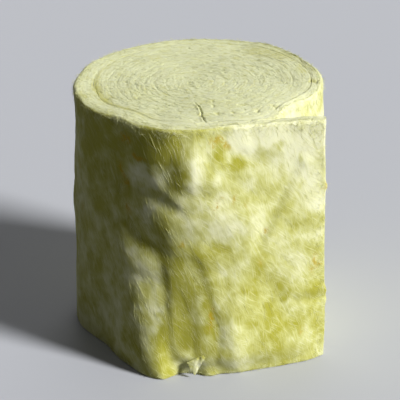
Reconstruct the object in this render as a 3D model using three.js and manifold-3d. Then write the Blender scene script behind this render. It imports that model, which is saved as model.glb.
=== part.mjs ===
// A glass-wool blanket wound into a roll and stood on one end, with the end of its outer turn loose.
// It is one piece of stock: the wound body, the flat loose flap and the spiral seam between the turns
// are one solid. Millimetres, +Z up. The origin is on the roll's axis, at the foot.
// Bearings are in degrees, counter-clockwise from +X as seen from above: -90 (or 270) is the front.
import * as THREE from 'three';
import Module from 'manifold-3d';

// Driving dimensions of the stock and of the roll.
const BLANKET_WIDTH = 600; // the roll's height, as it stands on end
const BLANKET_THICKNESS = 25; // of the loose flap
const ROLL_RADIUS = 288; // at the top end
const FOOT_SETTLE = 5; // the roll spreads by this much towards its foot, under its own weight
const TURN_PITCH = 26; // from one turn of the seam to the next
const CORE_RADIUS = 30; // the innermost turn starts here
const EDGE_ROUND = 6; // both cut ends round over by this much

// The loose flap leaves the roll at the front and runs to the right, to a square cut end.
const FLAP_BEARING = 268; // where it leaves the roll
const FLAP_SHORTFALL = 5; // the cut end stops this far short of the roll's right side
const FLAP_SETBACK_TOP = 60; // the cut end's distance behind the roll's frontmost line, at the top
const FLAP_SETBACK_FOOT = 84; // and at the foot
const FLAP_BOW_FOOT = 28; // the flap's foot bows forward by this much
const FLAP_BOW_FLATNESS = 3; // 2 bows it as an arc; more keeps its middle flatter

// The seam is a V-groove in both ends. The outer turn lies slack on the left, so the groove gapes there.
const SEAM_WIDTH = 5;
const SEAM_DEPTH = 14;
const SLACK_BEARING = 190;
const SLACK_THICKNESS = 50; // of the outer turn where it is slackest
const SLACK_SPREAD = 75; // degrees to either side
const SLACK_TAKEN_UP_OVER = 5; // turns, from the outer one inwards
const SLACK_SEAM_WIDTH = 10;
const TUCK_START = 0.86; // of a turn: from here to the full turn, the outer turn slips in under the flap
const ROUND_BELOW = 144; // the turns this deep under the side wall take no part in its folds

// A split runs in from the front rim of the top end.
const SPLIT_WIDTH = 7;
const SPLIT_DEPTH = 16;
const SPLIT_FROM_RIM = 34; // the split's outer end, inside the rim
const SPLIT_LENGTH = 125;
const SPLIT_OUTER_BEARING = 274.5;
const SPLIT_INNER_BEARING = 266.5;
const SPLIT_TIP_SHARE = 0.1; // of its width, left at either end

// Soft folds of the side wall. Each pushes the wall out (or in, where negative) round one bearing, by one
// amount at the foot and another from its reach upwards, and spreads over so many degrees before and
// after it. One that leans has gained so many degrees by its reach.
const FOLDS = [
  { bearing: 255, before: 16, after: 13, atFoot: 17, above: 0, reach: 400, lean: -25 }, // the pinched corner
  { bearing: 255.5, before: 13, after: 3.8, atFoot: 20, above: 0, reach: 110, lean: -5 }, // its tip
  { bearing: 213, before: 17, after: 17, atFoot: -27, above: 0, reach: 460, lean: 0 }, // the flat beside it
  { bearing: 264, before: 5.5, after: 5.5, atFoot: -26, above: 0, reach: 60, lean: 0 }, // the foot turned in
  { bearing: 231, before: 14, after: 21, atFoot: 0, above: -27, reach: 600, lean: 0 }, // the flattened rim
  { bearing: 268, before: 12, after: 12, atFoot: 0, above: -14, reach: 600, lean: 0 }, // where the flap leaves
  { bearing: 58, before: 34, after: 34, atFoot: 17, above: 17, reach: 600, lean: 0 }, // the fuller back
  { bearing: -32, before: 20, after: 20, atFoot: -42, above: -42, reach: 600, lean: 0 }, // behind the flap
];

// Creases that follow a path across the blanket. Each corner of a path is a run, a height and how far the
// wall stands out there. Runs are measured from where the flap leaves the roll: along the flap, or back
// round the wall where negative. Left and right are how far a crease spreads, looking along its path.
const CREASES = [
  { path: [[-52, 50, -3], [-72, 260, -3]], left: 26, right: 12 }, // the valley beside the pinched corner
  { path: [[70, 60, 16], [40, 340, 10]], left: 85, right: 120 }, // the full panel that runs on into the flap
  { path: [[26, 0, 12], [24, 30, 4]], left: 18, right: 20 }, // its lobe at the foot
  { path: [[42, 40, -3], [48, 110, -4], [6, 280, -3]], left: 24, right: 12 }, // the valley across it
  { path: [[16, 330, 2], [12, 400, 14], [2, 500, 18], [-14, 575, 7]], left: 58, right: 100 }, // the shoulder over it
  { path: [[160, 230, -5], [200, 140, -5]], left: 44, right: 40 }, // the dent in the flap
  { path: [[-380, 180, -6], [-330, 420, -6]], left: 50, right: 60 }, // dents round the sides and back
  { path: [[-470, 300, 4], [-520, 500, 4]], left: 50, right: 60 },
  { path: [[-720, 60, -9], [-640, 300, -7]], left: 45, right: 60 },
  { path: [[-800, 260, -6], [-860, 520, -8]], left: 60, right: 50 },
  { path: [[-1090, 40, 8], [-1020, 330, 8]], left: 50, right: 55 },
  { path: [[-1170, 230, -8], [-1230, 540, -7]], left: 50, right: 55 },
  { path: [[-1420, 50, -7], [-1360, 320, -7]], left: 50, right: 50 },
];

// How finely the form is divided.
const BODY_STEPS = 64;
const FRONT_FROM = 215; // bearing: from here to the flap the wall is divided more finely
const FRONT_STEPS = 24;
const FLAP_STEPS = 12;
const SEAM_STEP_DEGREES = 12;
const WALL_LEVELS = 15;
const EDGE_ARC_STEPS = 2;
const SPLIT_STEPS = 5;
const ROOT_HALVINGS = 40; // while searching for the wedge's root
const SHARPEST_MITRE = 0.6; // cosine of half the turn at a corner, past which an inset corner is cut short

const DEGREE = Math.PI / 180;
const lerp = THREE.MathUtils.lerp;

/** A bell curve of the angle from a centre: 1 at the centre, near 0 two spreads before or after it. */
function bell(bearing, centre, before, after = before) {
  const turn = THREE.MathUtils.euclideanModulo(bearing - centre + 180, 360) - 180;
  return Math.exp(-((turn / (turn < 0 ? before : after)) ** 2));
}

/** The radius of the wound body's side wall at a bearing and height, with its folds only. */
function foldedRadius(bearing, z) {
  let radius = ROLL_RADIUS + FOOT_SETTLE * (1 - z / BLANKET_WIDTH);
  for (const { bearing: atFootBearing, before, after, atFoot, above, reach, lean } of FOLDS) {
    const centre = atFootBearing + lean * Math.min(1, z / reach);
    const outward = lerp(atFoot, above, THREE.MathUtils.smoothstep(z, 0, reach));
    radius += outward * bell(bearing, centre, before, after);
  }
  return radius;
}

/** How far the creases push the wall out: each is a bell curve of the distance from its path. */
function creasing(run, z) {
  let total = 0;
  for (const { path, left, right } of CREASES) {
    let nearest = Infinity;
    let outward = 0;
    for (let i = 0; i + 1 < path.length; i += 1) {
      const [startRun, startZ, startOut] = path[i];
      const stepRun = path[i + 1][0] - startRun;
      const stepZ = path[i + 1][1] - startZ;
      const along = ((run - startRun) * stepRun + (z - startZ) * stepZ) / (stepRun ** 2 + stepZ ** 2);
      const share = THREE.MathUtils.clamp(along, 0, 1);
      const awayRun = run - startRun - share * stepRun;
      const awayZ = z - startZ - share * stepZ;
      const distance = Math.hypot(awayRun, awayZ);
      if (distance < nearest) {
        const spread = awayRun * stepZ - awayZ * stepRun > 0 ? right : left;
        nearest = distance;
        outward = lerp(startOut, path[i + 1][2], share) * Math.exp(-((distance / spread) ** 2));
      }
    }
    total += outward;
  }
  return total;
}

/** The radius of the wound body's side wall at a bearing and height. */
function wallRadius(bearing, z) {
  const before = THREE.MathUtils.euclideanModulo(FLAP_BEARING - bearing, 360);
  return foldedRadius(bearing, z) + creasing(-before * DEGREE * ROLL_RADIUS, z);
}

/** The point at a bearing and radius, seen from above. */
function polar(bearing, radius) {
  return new THREE.Vector2(Math.cos(bearing * DEGREE), Math.sin(bearing * DEGREE)).multiplyScalar(radius);
}

/** The flap's outer face at one height: s runs from 0, where it leaves the roll, to 1, its cut end. */
function flapFace(s, z) {
  const start = polar(FLAP_BEARING, foldedRadius(FLAP_BEARING, z));
  const setback = lerp(FLAP_SETBACK_FOOT, FLAP_SETBACK_TOP, z / BLANKET_WIDTH);
  const settle = FOOT_SETTLE * (1 - z / BLANKET_WIDTH);
  const end = new THREE.Vector2(ROLL_RADIUS + settle - FLAP_SHORTFALL, setback - ROLL_RADIUS);
  const along = end.clone().sub(start).normalize();
  const inward = new THREE.Vector2(-along.y, along.x);
  const bow = FLAP_BOW_FOOT * (1 - z / BLANKET_WIDTH) * (1 - Math.abs(2 * s - 1) ** FLAP_BOW_FLATNESS);
  const forward = bow + creasing(s * start.distanceTo(end), z);
  return { point: start.lerp(end, s).addScaledVector(inward, -forward), inward };
}

/** The flap's inner face, one blanket thickness behind the outer one. */
function flapBack(s, z) {
  const { point, inward } = flapFace(s, z);
  return point.addScaledVector(inward, BLANKET_THICKNESS);
}

/** Where along the flap its inner face meets the wound body, at the root of the open wedge. */
function wedgeRoot(z) {
  const outside = (s) => {
    const point = flapBack(s, z);
    return point.length() > wallRadius(point.angle() / DEGREE, z);
  };
  let touching = 0;
  let clear = 1;
  for (let i = 0; i < ROOT_HALVINGS; i += 1) {
    const middle = (touching + clear) / 2;
    if (outside(middle)) {
      clear = middle;
    } else {
      touching = middle;
    }
  }
  return clear;
}

/** The roll's outline at one height, counter-clockwise: the wound body, then out and back along the flap. */
function outline(z) {
  const root = wedgeRoot(z);
  const rootBearing = flapBack(root, z).angle() / DEGREE - 360;
  const points = [];
  for (let i = 0; i < BODY_STEPS + FRONT_STEPS; i += 1) {
    const bearing =
      i < BODY_STEPS
        ? lerp(rootBearing, FRONT_FROM, i / BODY_STEPS)
        : lerp(FRONT_FROM, FLAP_BEARING, (i - BODY_STEPS) / FRONT_STEPS);
    points.push(polar(bearing, wallRadius(bearing, z)));
  }
  for (let i = 0; i <= FLAP_STEPS; i += 1) {
    points.push(flapFace(i / FLAP_STEPS, z).point);
  }
  for (let i = 0; i < FLAP_STEPS; i += 1) {
    points.push(flapBack(lerp(1, root, i / FLAP_STEPS), z));
  }
  return points;
}

/** The outline moved inwards by a distance, corner by corner. */
function inset(points, distance) {
  return points.map((point, i) => {
    const before = points[(i + points.length - 1) % points.length];
    const after = points[(i + 1) % points.length];
    const into = point.clone().sub(before).normalize();
    const outOf = after.clone().sub(point).normalize();
    const normal = new THREE.Vector2(-into.y - outOf.y, into.x + outOf.x).normalize();
    const mitre = Math.max(SHARPEST_MITRE, normal.x * -into.y + normal.y * into.x);
    return point.clone().addScaledVector(normal, distance / mitre);
  });
}

/** The heights of the loft's sections with their insets: both ends round over, the wall runs between. */
function sections() {
  const end = [];
  for (let i = 0; i <= EDGE_ARC_STEPS; i += 1) {
    const angle = (i / EDGE_ARC_STEPS) * 90 * DEGREE;
    end.push({ rise: EDGE_ROUND * (1 - Math.cos(angle)), inset: EDGE_ROUND * (1 - Math.sin(angle)) });
  }
  const foot = end.map((step) => ({ z: step.rise, inset: step.inset }));
  const top = end.map((step) => ({ z: BLANKET_WIDTH - step.rise, inset: step.inset })).reverse();
  const wall = [];
  for (let i = 1; i < WALL_LEVELS; i += 1) {
    wall.push({ z: lerp(EDGE_ROUND, BLANKET_WIDTH - EDGE_ROUND, i / WALL_LEVELS), inset: 0 });
  }
  return [...foot, ...wall, ...top];
}

/** A closed solid through a stack of outlines that all have as many points. */
function loft(stack) {
  const positions = [];
  const index = [];
  for (const { z, points } of stack) {
    for (const { x, y } of points) {
      positions.push(x, y, z);
    }
  }
  const count = stack[0].points.length;
  for (let level = 0; level + 1 < stack.length; level += 1) {
    for (let i = 0; i < count; i += 1) {
      const a = level * count + i;
      const b = level * count + ((i + 1) % count);
      index.push(a, b, b + count, a, b + count, a + count);
    }
  }
  const lastLevel = (stack.length - 1) * count;
  for (const [a, b, c] of THREE.ShapeUtils.triangulateShape(stack[0].points, [])) {
    index.push(a, c, b);
  }
  for (const [a, b, c] of THREE.ShapeUtils.triangulateShape(stack.at(-1).points, [])) {
    index.push(lastLevel + a, lastLevel + b, lastLevel + c);
  }
  return { positions, index };
}

/**
 * The seam's depth under the side wall after some turns of winding inwards from the flap. Each turn is one
 * pitch deeper. The outer turn reaches that depth all at once, where it passes under the flap, and its
 * slack is taken up turn by turn towards the core.
 */
function seamDepth(turns) {
  const bearing = FLAP_BEARING - 360 * turns;
  const slack = (SLACK_THICKNESS - BLANKET_THICKNESS) * bell(bearing, SLACK_BEARING, SLACK_SPREAD);
  const tautness = Math.max(0, (turns - 1) / SLACK_TAKEN_UP_OVER);
  const pitches = turns < 1 ? THREE.MathUtils.smoothstep(turns, TUCK_START, 1) : turns;
  return BLANKET_THICKNESS + TURN_PITCH * pitches + slack * Math.max(0, 1 - tautness);
}

/** The seam seen from above, from the open wedge under the flap to the core. */
function seamPath(z) {
  const path = [];
  const root = wedgeRoot(z);
  const mouth = root + (1 - root) / FLAP_STEPS;
  for (let i = 0; i <= FLAP_STEPS; i += 1) {
    path.push({ point: flapBack(lerp(mouth, 0, i / FLAP_STEPS), z), width: SEAM_WIDTH });
  }
  for (let turns = SEAM_STEP_DEGREES / 360; ; turns += SEAM_STEP_DEGREES / 360) {
    const bearing = FLAP_BEARING - 360 * turns;
    const depth = seamDepth(turns);
    const roundness = Math.min(1, depth / ROUND_BELOW);
    const radius = lerp(wallRadius(bearing, z), ROLL_RADIUS, roundness) - depth;
    if (radius < CORE_RADIUS) {
      return path;
    }
    const gape = turns < 1 ? (SLACK_SEAM_WIDTH - SEAM_WIDTH) * bell(bearing, SLACK_BEARING, SLACK_SPREAD) : 0;
    path.push({ point: polar(bearing, radius), width: SEAM_WIDTH + gape });
  }
}

/** The split in the top end, seen from above: a leaning line that tapers to nothing at both ends. */
function splitPath() {
  const rimEnd = wallRadius(SPLIT_OUTER_BEARING, BLANKET_WIDTH) - SPLIT_FROM_RIM;
  const path = [];
  for (let i = 0; i <= SPLIT_STEPS; i += 1) {
    const share = i / SPLIT_STEPS;
    path.push({
      point: polar(lerp(SPLIT_OUTER_BEARING, SPLIT_INNER_BEARING, share), rimEnd - share * SPLIT_LENGTH),
      width: SPLIT_WIDTH * Math.max(SPLIT_TIP_SHARE, Math.sin(share * Math.PI)),
    });
  }
  return path;
}

/** A V-shaped cutter along a path. It cuts into a flat end at z, downwards (into -1) or upwards (+1). */
function grooveCutter(path, z, depth, into) {
  const proud = 2; // the cutter stands this far out of the end that it cuts
  const positions = [];
  const index = [];
  path.forEach(({ point, width }, i) => {
    const before = path[Math.max(0, i - 1)].point;
    const after = path[Math.min(path.length - 1, i + 1)].point;
    const along = after.clone().sub(before).normalize();
    const half = (width / 2) * (1 + proud / depth);
    const side = new THREE.Vector2(-along.y, along.x).multiplyScalar(half);
    positions.push(point.x + side.x, point.y + side.y, z - into * proud);
    positions.push(point.x - side.x, point.y - side.y, z - into * proud);
    positions.push(point.x, point.y, z + into * depth);
  });
  const push = (a, b, c) => index.push(...(into < 0 ? [a, b, c] : [a, c, b]));
  for (let i = 0; i + 1 < path.length; i += 1) {
    for (const [from, to] of [[0, 1], [1, 2], [2, 0]]) {
      const a = 3 * i + from;
      const b = 3 * i + to;
      push(a, b, b + 3);
      push(a, b + 3, a + 3);
    }
  }
  const last = 3 * (path.length - 1);
  push(2, 1, 0);
  push(last, last + 1, last + 2);
  return { positions, index };
}

const wasm = await Module();
wasm.setup();

/** A closed mesh as a solid that can be cut. */
function toSolid({ positions, index }) {
  const mesh = new wasm.Mesh({
    numProp: 3,
    vertProperties: new Float32Array(positions),
    triVerts: new Uint32Array(index),
  });
  return new wasm.Manifold(mesh);
}

/** A solid as a geometry for a mesh. */
function toGeometry(solid) {
  const { vertProperties, triVerts } = solid.getMesh();
  const geometry = new THREE.BufferGeometry();
  geometry.setAttribute('position', new THREE.BufferAttribute(vertProperties, 3));
  geometry.setIndex(new THREE.BufferAttribute(triVerts, 1));
  geometry.computeVertexNormals();
  return geometry;
}

/** The whole roll: the lofted blanket with the seam cut in both ends and the split in the top. */
function woundBlanket() {
  const stack = sections().map(({ z, inset: distance }) => ({ z, points: inset(outline(z), distance) }));
  const cutters = [
    grooveCutter(seamPath(0), 0, SEAM_DEPTH, 1),
    grooveCutter(seamPath(BLANKET_WIDTH), BLANKET_WIDTH, SEAM_DEPTH, -1),
    grooveCutter(splitPath(), BLANKET_WIDTH, SPLIT_DEPTH, -1),
  ];
  return cutters.reduce((body, cutter) => body.subtract(toSolid(cutter)), toSolid(loft(stack)));
}

const glassWool = new THREE.MeshStandardMaterial({ color: 0xd3d38d, roughness: 0.95, metalness: 0 });
const blanket = new THREE.Mesh(toGeometry(woundBlanket()), glassWool);
blanket.name = 'glass_wool_blanket';

const insulationRoll = new THREE.Group();
insulationRoll.add(blanket);
export default insulationRoll;
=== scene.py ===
"""An insulation roll: a glass-wool blanket wound up and stood on one end, its outer turn left loose.

All sizes are in metres, in the roll's own frame: +Z up its axis, the origin on the axis at the foot, -Y
the front. Bearings are in degrees, counter-clockwise from +X as seen from above. A place along the blanket
is its run: 0 where the loose flap leaves the roll, positive out to the flap's cut end, and negative
winding inwards, which is clockwise as seen from above.
"""

import logging
import math
from dataclasses import dataclass
from enum import Enum
from typing import Sequence

import bpy
import numpy as np
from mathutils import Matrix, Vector
from numpy.typing import NDArray


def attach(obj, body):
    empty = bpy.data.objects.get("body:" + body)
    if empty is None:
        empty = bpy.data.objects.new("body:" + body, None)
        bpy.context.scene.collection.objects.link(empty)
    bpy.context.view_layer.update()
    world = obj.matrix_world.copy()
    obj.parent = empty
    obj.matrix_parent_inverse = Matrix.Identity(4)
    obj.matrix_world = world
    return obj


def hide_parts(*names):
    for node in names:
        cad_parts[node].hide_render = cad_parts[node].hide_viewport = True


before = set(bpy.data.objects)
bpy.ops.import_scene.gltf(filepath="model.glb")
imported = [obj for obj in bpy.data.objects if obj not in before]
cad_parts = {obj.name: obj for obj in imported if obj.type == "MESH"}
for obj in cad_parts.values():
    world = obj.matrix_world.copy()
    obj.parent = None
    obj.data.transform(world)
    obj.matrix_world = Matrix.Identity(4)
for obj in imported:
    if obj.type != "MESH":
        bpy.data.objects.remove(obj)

Array = NDArray[np.float64]
Index = NDArray[np.int64]

NODE = "glass_wool_blanket"
BODY = "root"
LAY_MAP = "lay"
MM = 1000.0  # to the metre
TINY = 1e-12  # keeps lengths off zero where something is divided by them

Pair = tuple[float, float]
Triple = tuple[float, float, float]
Quad = tuple[float, float, float, float]
RGBA = Quad
Socket = bpy.types.NodeSocket
Inputs = dict[str | int, object]

log = logging.getLogger("insulation_roll")


def smoothstep(value: Array, low: float, high: float) -> Array:
    """A soft step of the value: 0 below low, 1 above high, and 3t^2 - 2t^3 between."""
    t = np.clip((value - low) / (high - low), 0.0, 1.0)
    return t * t * (3.0 - 2.0 * t)


def stacked(*parts: Array) -> Array:
    """Parts of shapes that broadcast together, side by side along a new last axis."""
    return np.stack(np.broadcast_arrays(*parts), axis=-1)


def polar(bearing: Array, radius: Array) -> Array:
    """Points seen from above at bearings and radii, with x and y along the last axis."""
    angle = np.radians(bearing)
    return stacked(radius * np.cos(angle), radius * np.sin(angle))


def dot(a: Array, b: Array) -> Array:
    """The dot product along the last axis."""
    return (a * b).sum(axis=-1)


def unit(way: Array) -> Array:
    """The way as a unit vector, along the last axis."""
    return way / np.maximum(np.linalg.norm(way, axis=-1, keepdims=True), TINY)


def raised(plan: Array, z: Array) -> Array:
    """Points seen from above, raised to a height."""
    return stacked(plan[..., 0], plan[..., 1], z)


def add_object(name: str, data: bpy.types.ID) -> bpy.types.Object:
    """A new object of the scene, with its mesh, lamp or camera."""
    piece = bpy.data.objects.new(name, data)
    bpy.context.scene.collection.objects.link(piece)
    return piece


@dataclass(frozen=True)
class SmoothNoise:
    """Seeded gradient noise in space, for lumps, fibres and wear."""

    seed: int
    gain: float = 1.6
    level: float = 0.35  # the middle of the noise without its sign

    def at(self, points: Array, size: float) -> Array:
        """One layer of noise, from about -1 to 1.

        Each corner of the lattice cell that holds a point has a fixed random direction. The dot products
        of those with the ways from the corners to the point are blended by 6t^5 - 15t^4 + 10t^3.

        Args:
            points: places in space, with x, y and z along the last axis.
            size: the lattice's cell, which is about the size of a lump.

        Returns:
            The noise at each point.
        """
        rng = np.random.default_rng(self.seed)
        table = rng.permutation(256)
        directions = unit(rng.normal(size=(256, 3)))
        cell = np.floor(points / size).astype(np.int64)
        local = points / size - cell
        fade = local**3 * (local * (local * 6.0 - 15.0) + 10.0)
        total = np.zeros(points.shape[:-1])
        for corner in np.ndindex(2, 2, 2):
            key = cell + np.array(corner)
            hashed = table[key[..., 0] & 255]
            hashed = table[(hashed + key[..., 1]) & 255]
            hashed = table[(hashed + key[..., 2]) & 255]
            weight = np.where(np.array(corner) == 1, fade, 1.0 - fade).prod(axis=-1)
            total += weight * dot(local - np.array(corner), directions[hashed])
        return self.gain * total

    def layered(self, points: Array, size: float, layers: int = 4, keep: float = 0.5) -> Array:
        """Noise at one size plus finer layers, each half the size and keep times as strong."""
        shifts = [points + 7.31 * k * size for k in range(layers)]
        return sum(keep**k * self.at(p, size / 2**k) for k, p in enumerate(shifts))

    def pillowed(self, points: Array, size: float, layers: int = 3, keep: float = 0.5) -> Array:
        """Round lumps that meet in creases: layers of the noise without its sign, less its level."""
        shifts = [points + 5.17 * k * size for k in range(layers)]
        return sum(keep**k * (np.abs(self.at(p, size / 2**k)) - self.level) for k, p in enumerate(shifts))


@dataclass(frozen=True)
class Fold:
    """A soft fold of the side wall: a bell curve round one bearing, which may lean as it rises."""

    bearing: float  # at the foot
    before: float  # degrees that it spreads to smaller bearings
    after: float  # and to larger ones
    at_foot: float
    above: float  # its size from its reach upwards
    reach: float = 0.600
    lean: float = 0.0  # degrees that its bearing gains from the foot to its reach

    def at(self, bearing: Array, z: Array) -> Array:
        """How far it pushes the wall out: its size at the height times a bell curve of the bearing."""
        centre = self.bearing + self.lean * np.clip(z / self.reach, 0.0, 1.0)
        turn = (bearing - centre + 180.0) % 360.0 - 180.0
        outward = self.at_foot + (self.above - self.at_foot) * smoothstep(z, 0.0, self.reach)
        return outward * np.exp(-((turn / np.where(turn < 0.0, self.before, self.after)) ** 2))


@dataclass(frozen=True)
class RollForm:
    """The roll's main form: the wound body, the loose flap, and the seam between the turns."""

    width: float = 0.600
    thickness: float = 0.025
    radius: float = 0.288
    foot_settle: float = 0.005
    pitch: float = 0.026
    flap_bearing: float = 268.0
    flap_shortfall: float = 0.005
    flap_setback_top: float = 0.060
    flap_setback_foot: float = 0.084
    flap_bow_foot: float = 0.028
    flap_bow_flatness: float = 3.0
    flap_run: float = 0.297  # its length, to which runs along it are measured
    flap_turn_in: float = 0.15  # share of the flap over which its thickness turns from the roll's radius
    slack_bearing: float = 190.0
    slack_extra: float = 0.025
    slack_spread: float = 75.0
    slack_turns: float = 5.0
    tuck_start: float = 0.86
    tuck_lead: float = 0.15  # turns before its start, from which the wall keeps clear of the flap's back
    tuck_clearance: float = 0.002
    tuck_softness: float = 0.002
    tail_start: float = 0.87  # turns: the outer turn thins out from here, under the flap
    tail_end: float = 0.965
    tail_thinning: float = 0.96  # share of the thickness that it loses
    round_below: float = 0.144
    folds: tuple[Fold, ...] = (
        Fold(255.0, 16.0, 13.0, 0.017, 0.0, 0.400, -25.0),
        Fold(255.5, 13.0, 3.8, 0.020, 0.0, 0.110, -5.0),
        Fold(213.0, 17.0, 17.0, -0.027, 0.0, 0.460),
        Fold(264.0, 5.5, 5.5, -0.026, 0.0, 0.060),
        Fold(231.0, 14.0, 21.0, 0.0, -0.027),
        Fold(268.0, 12.0, 12.0, 0.0, -0.014),
        Fold(58.0, 34.0, 34.0, 0.017, 0.017),
        Fold(-32.0, 20.0, 20.0, -0.042, -0.042),
    )

    @staticmethod
    def bell(bearing: Array, centre: float, spread: float) -> Array:
        """exp(-(turn / spread)^2), where turn is the angle from the centre, at most 180 degrees."""
        turn = (bearing - centre + 180.0) % 360.0 - 180.0
        return np.exp(-((turn / spread) ** 2))

    def turns_at(self, run: Array) -> Array:
        """How many turns of winding a run is past the flap, and 0 on the flap."""
        return np.maximum(-run, 0.0) / (2.0 * math.pi * self.radius)

    def settle(self, z: Array) -> Array:
        """How much the roll has spread at a height, under its own weight."""
        return self.foot_settle * (1.0 - z / self.width)

    def wall_radius(self, bearing: Array, z: Array) -> Array:
        """The side wall's radius: the roll's radius, spread towards the foot, plus each fold's bell curve.

        Args:
            bearing: bearings round the roll.
            z: heights.

        Returns:
            The radius at each.
        """
        radius = self.radius + self.settle(z) + 0.0 * bearing
        for fold in self.folds:
            radius = radius + fold.at(bearing, z)
        return radius

    def flap_chord(self, z: Array) -> tuple[Array, Array, Array]:
        """The straight line that the flap bows from: its start, its direction with length, and inwards."""
        bearing = np.full_like(z, self.flap_bearing)
        start = polar(bearing, self.wall_radius(bearing, z))
        setback = self.flap_setback_foot + (self.flap_setback_top - self.flap_setback_foot) * z / self.width
        end = stacked(self.radius + self.settle(z) - self.flap_shortfall, setback - self.radius)
        chord = end - start
        along = unit(chord)
        return start, chord, stacked(-along[..., 1], along[..., 0])

    def flap_bow(self, share: Array, z: Array) -> Array:
        """How far the flap bows forward of its chord: full in its middle, none at its two ends."""
        flat = 1.0 - np.abs(2.0 * np.clip(share, 0.0, 1.0) - 1.0) ** self.flap_bow_flatness
        return self.flap_bow_foot * (1.0 - z / self.width) * flat

    def slack(self, bearing: Array) -> Array:
        """How much thicker than the flap the outer turn lies at a bearing."""
        return self.slack_extra * self.bell(bearing, self.slack_bearing, self.slack_spread)

    def faces(self, run: Array, z: Array) -> tuple[Array, Array, Array]:
        """The outer turn's two faces.

        The outer face is the flap's bowed chord, then the side wall, which slips in behind the flap at the
        end of the turn. The inner face lies one thickness and the local slack further in, and closes on
        the outer one over the thinning tail.

        Args:
            run: runs along the blanket, of any shape that broadcasts with z.
            z: heights.

        Returns:
            Points on the outer face, points on the inner face, and the unit directions outwards, each
            with x and y along the last axis.
        """
        run, z = np.broadcast_arrays(run, z)
        share = np.clip(run / self.flap_run, 0.0, 1.0)
        turns = self.turns_at(run)
        bearing = self.flap_bearing - 360.0 * turns
        start, chord, inward = self.flap_chord(z)
        on_flap = start + share[..., None] * chord - self.flap_bow(share, z)[..., None] * inward
        wall = self.wall_radius(bearing, z)
        on_wall = polar(bearing, wall)
        way = on_wall - start
        beside = dot(way, chord) / dot(chord, chord)
        back = self.thickness - self.flap_bow(beside, z) + self.tuck_clearance
        short = np.where(turns > self.tuck_start - self.tuck_lead, back - dot(way, inward), -1.0)
        push = 0.5 * (short + np.sqrt(short**2 + self.tuck_softness**2))
        on_wall = on_wall + push[..., None] * inward
        loose = run[..., None] > 0.0
        outer = np.where(loose, on_flap, on_wall)

        turn_in = smoothstep(share, 0.0, self.flap_turn_in)
        flap_out = np.degrees(np.arctan2(-inward[..., 1], -inward[..., 0])) % 360.0
        heading = np.where(run > 0.0, self.flap_bearing + turn_in * (flap_out - self.flap_bearing), bearing)
        outward = polar(heading, np.ones_like(heading))
        depth = self.thickness + self.slack(bearing) + self.pitch * smoothstep(turns, self.tuck_start, 1.0)
        core = wall + (self.radius - wall) * np.minimum(1.0, depth / self.round_below) - depth
        inner = np.where(loose, outer - self.thickness * outward, polar(bearing, core))
        closing = self.tail_thinning * smoothstep(turns, self.tail_start, self.tail_end)[..., None]
        inner = inner + closing * (outer - inner)
        return outer, inner, outward

    def inner_outline(self, bearing: Array, z: Array, samples: int = 1440) -> Array:
        """The radius of the outer turn's inner face all round, which the inner turns fill.

        Args:
            bearing: bearings, as a flat array.
            z: heights, as a flat array.
            samples: how many points of the face are taken round the roll.

        Returns:
            The radii, with a row for each bearing and a column for each height.
        """
        run = -np.linspace(0.0, 0.9999, samples)[:, None] * 2.0 * math.pi * self.radius
        _, inner, _ = self.faces(run, z)
        radius = np.linalg.norm(inner, axis=-1)
        angle = np.degrees(np.unwrap(np.arctan2(inner[..., 1], inner[..., 0]), axis=0))
        columns = zip(angle[::-1].T % 360.0, radius[::-1].T)
        return stacked(*(np.interp(bearing, *column, period=360.0) for column in columns))

    def depth_at(self, xy: Array) -> tuple[Array, Array, Array]:
        """Where a point of the top end lies in the winding.

        Args:
            xy: points seen from above.

        Returns:
            Its bearing, its depth under the side wall, and its turn: whole numbers lie on the seams,
            counted from 0 at the outermost, and the part after the point runs from seam to seam.
        """
        bearing = np.degrees(np.arctan2(xy[..., 1], xy[..., 0])) % 360.0
        radius = np.linalg.norm(xy, axis=-1)
        wall = self.wall_radius(bearing, np.full_like(bearing, self.width))
        depth = (wall - radius) / (1.0 - (self.radius - wall) / self.round_below)
        depth = np.where(depth < self.round_below, depth, self.radius - radius)
        past = (self.flap_bearing - bearing) / 360.0 % 1.0
        slack = self.slack(bearing)
        first = self.thickness + slack + self.pitch * smoothstep(past, self.tuck_start, 1.0)
        second = self.thickness + self.pitch * (1.0 + past) + slack * (1.0 - past / self.slack_turns)
        taut_from = self.thickness + self.pitch * (1.0 + self.slack_turns)
        eased = depth - self.thickness - slack * (1.0 + 1.0 / self.slack_turns)
        eased = eased / (self.pitch - slack / self.slack_turns)
        wound = np.where(depth < taut_from, eased, (depth - self.thickness) / self.pitch)
        turn = np.where(depth < second, (depth - first) / (second - first), wound - past)
        turn = np.where(depth < first, depth / first - 1.0, turn)
        return bearing, depth, turn

    def end_lay(self, points: Array) -> Array:
        """Where points of an end lie on the blanket: its run along the winding's spiral, and their depth.

        The run after a whole number of turns and a part is 2 pi (R t - pitch t^2 / 2), negative inwards.
        """
        bearing, depth, turn = self.depth_at(points[..., :2])
        past = (self.flap_bearing - bearing) / 360.0 % 1.0
        total = np.floor(turn) + 1.0 + past
        run = -2.0 * math.pi * (self.radius * total - 0.5 * self.pitch * total**2)
        return stacked(run, self.width + depth)


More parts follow.
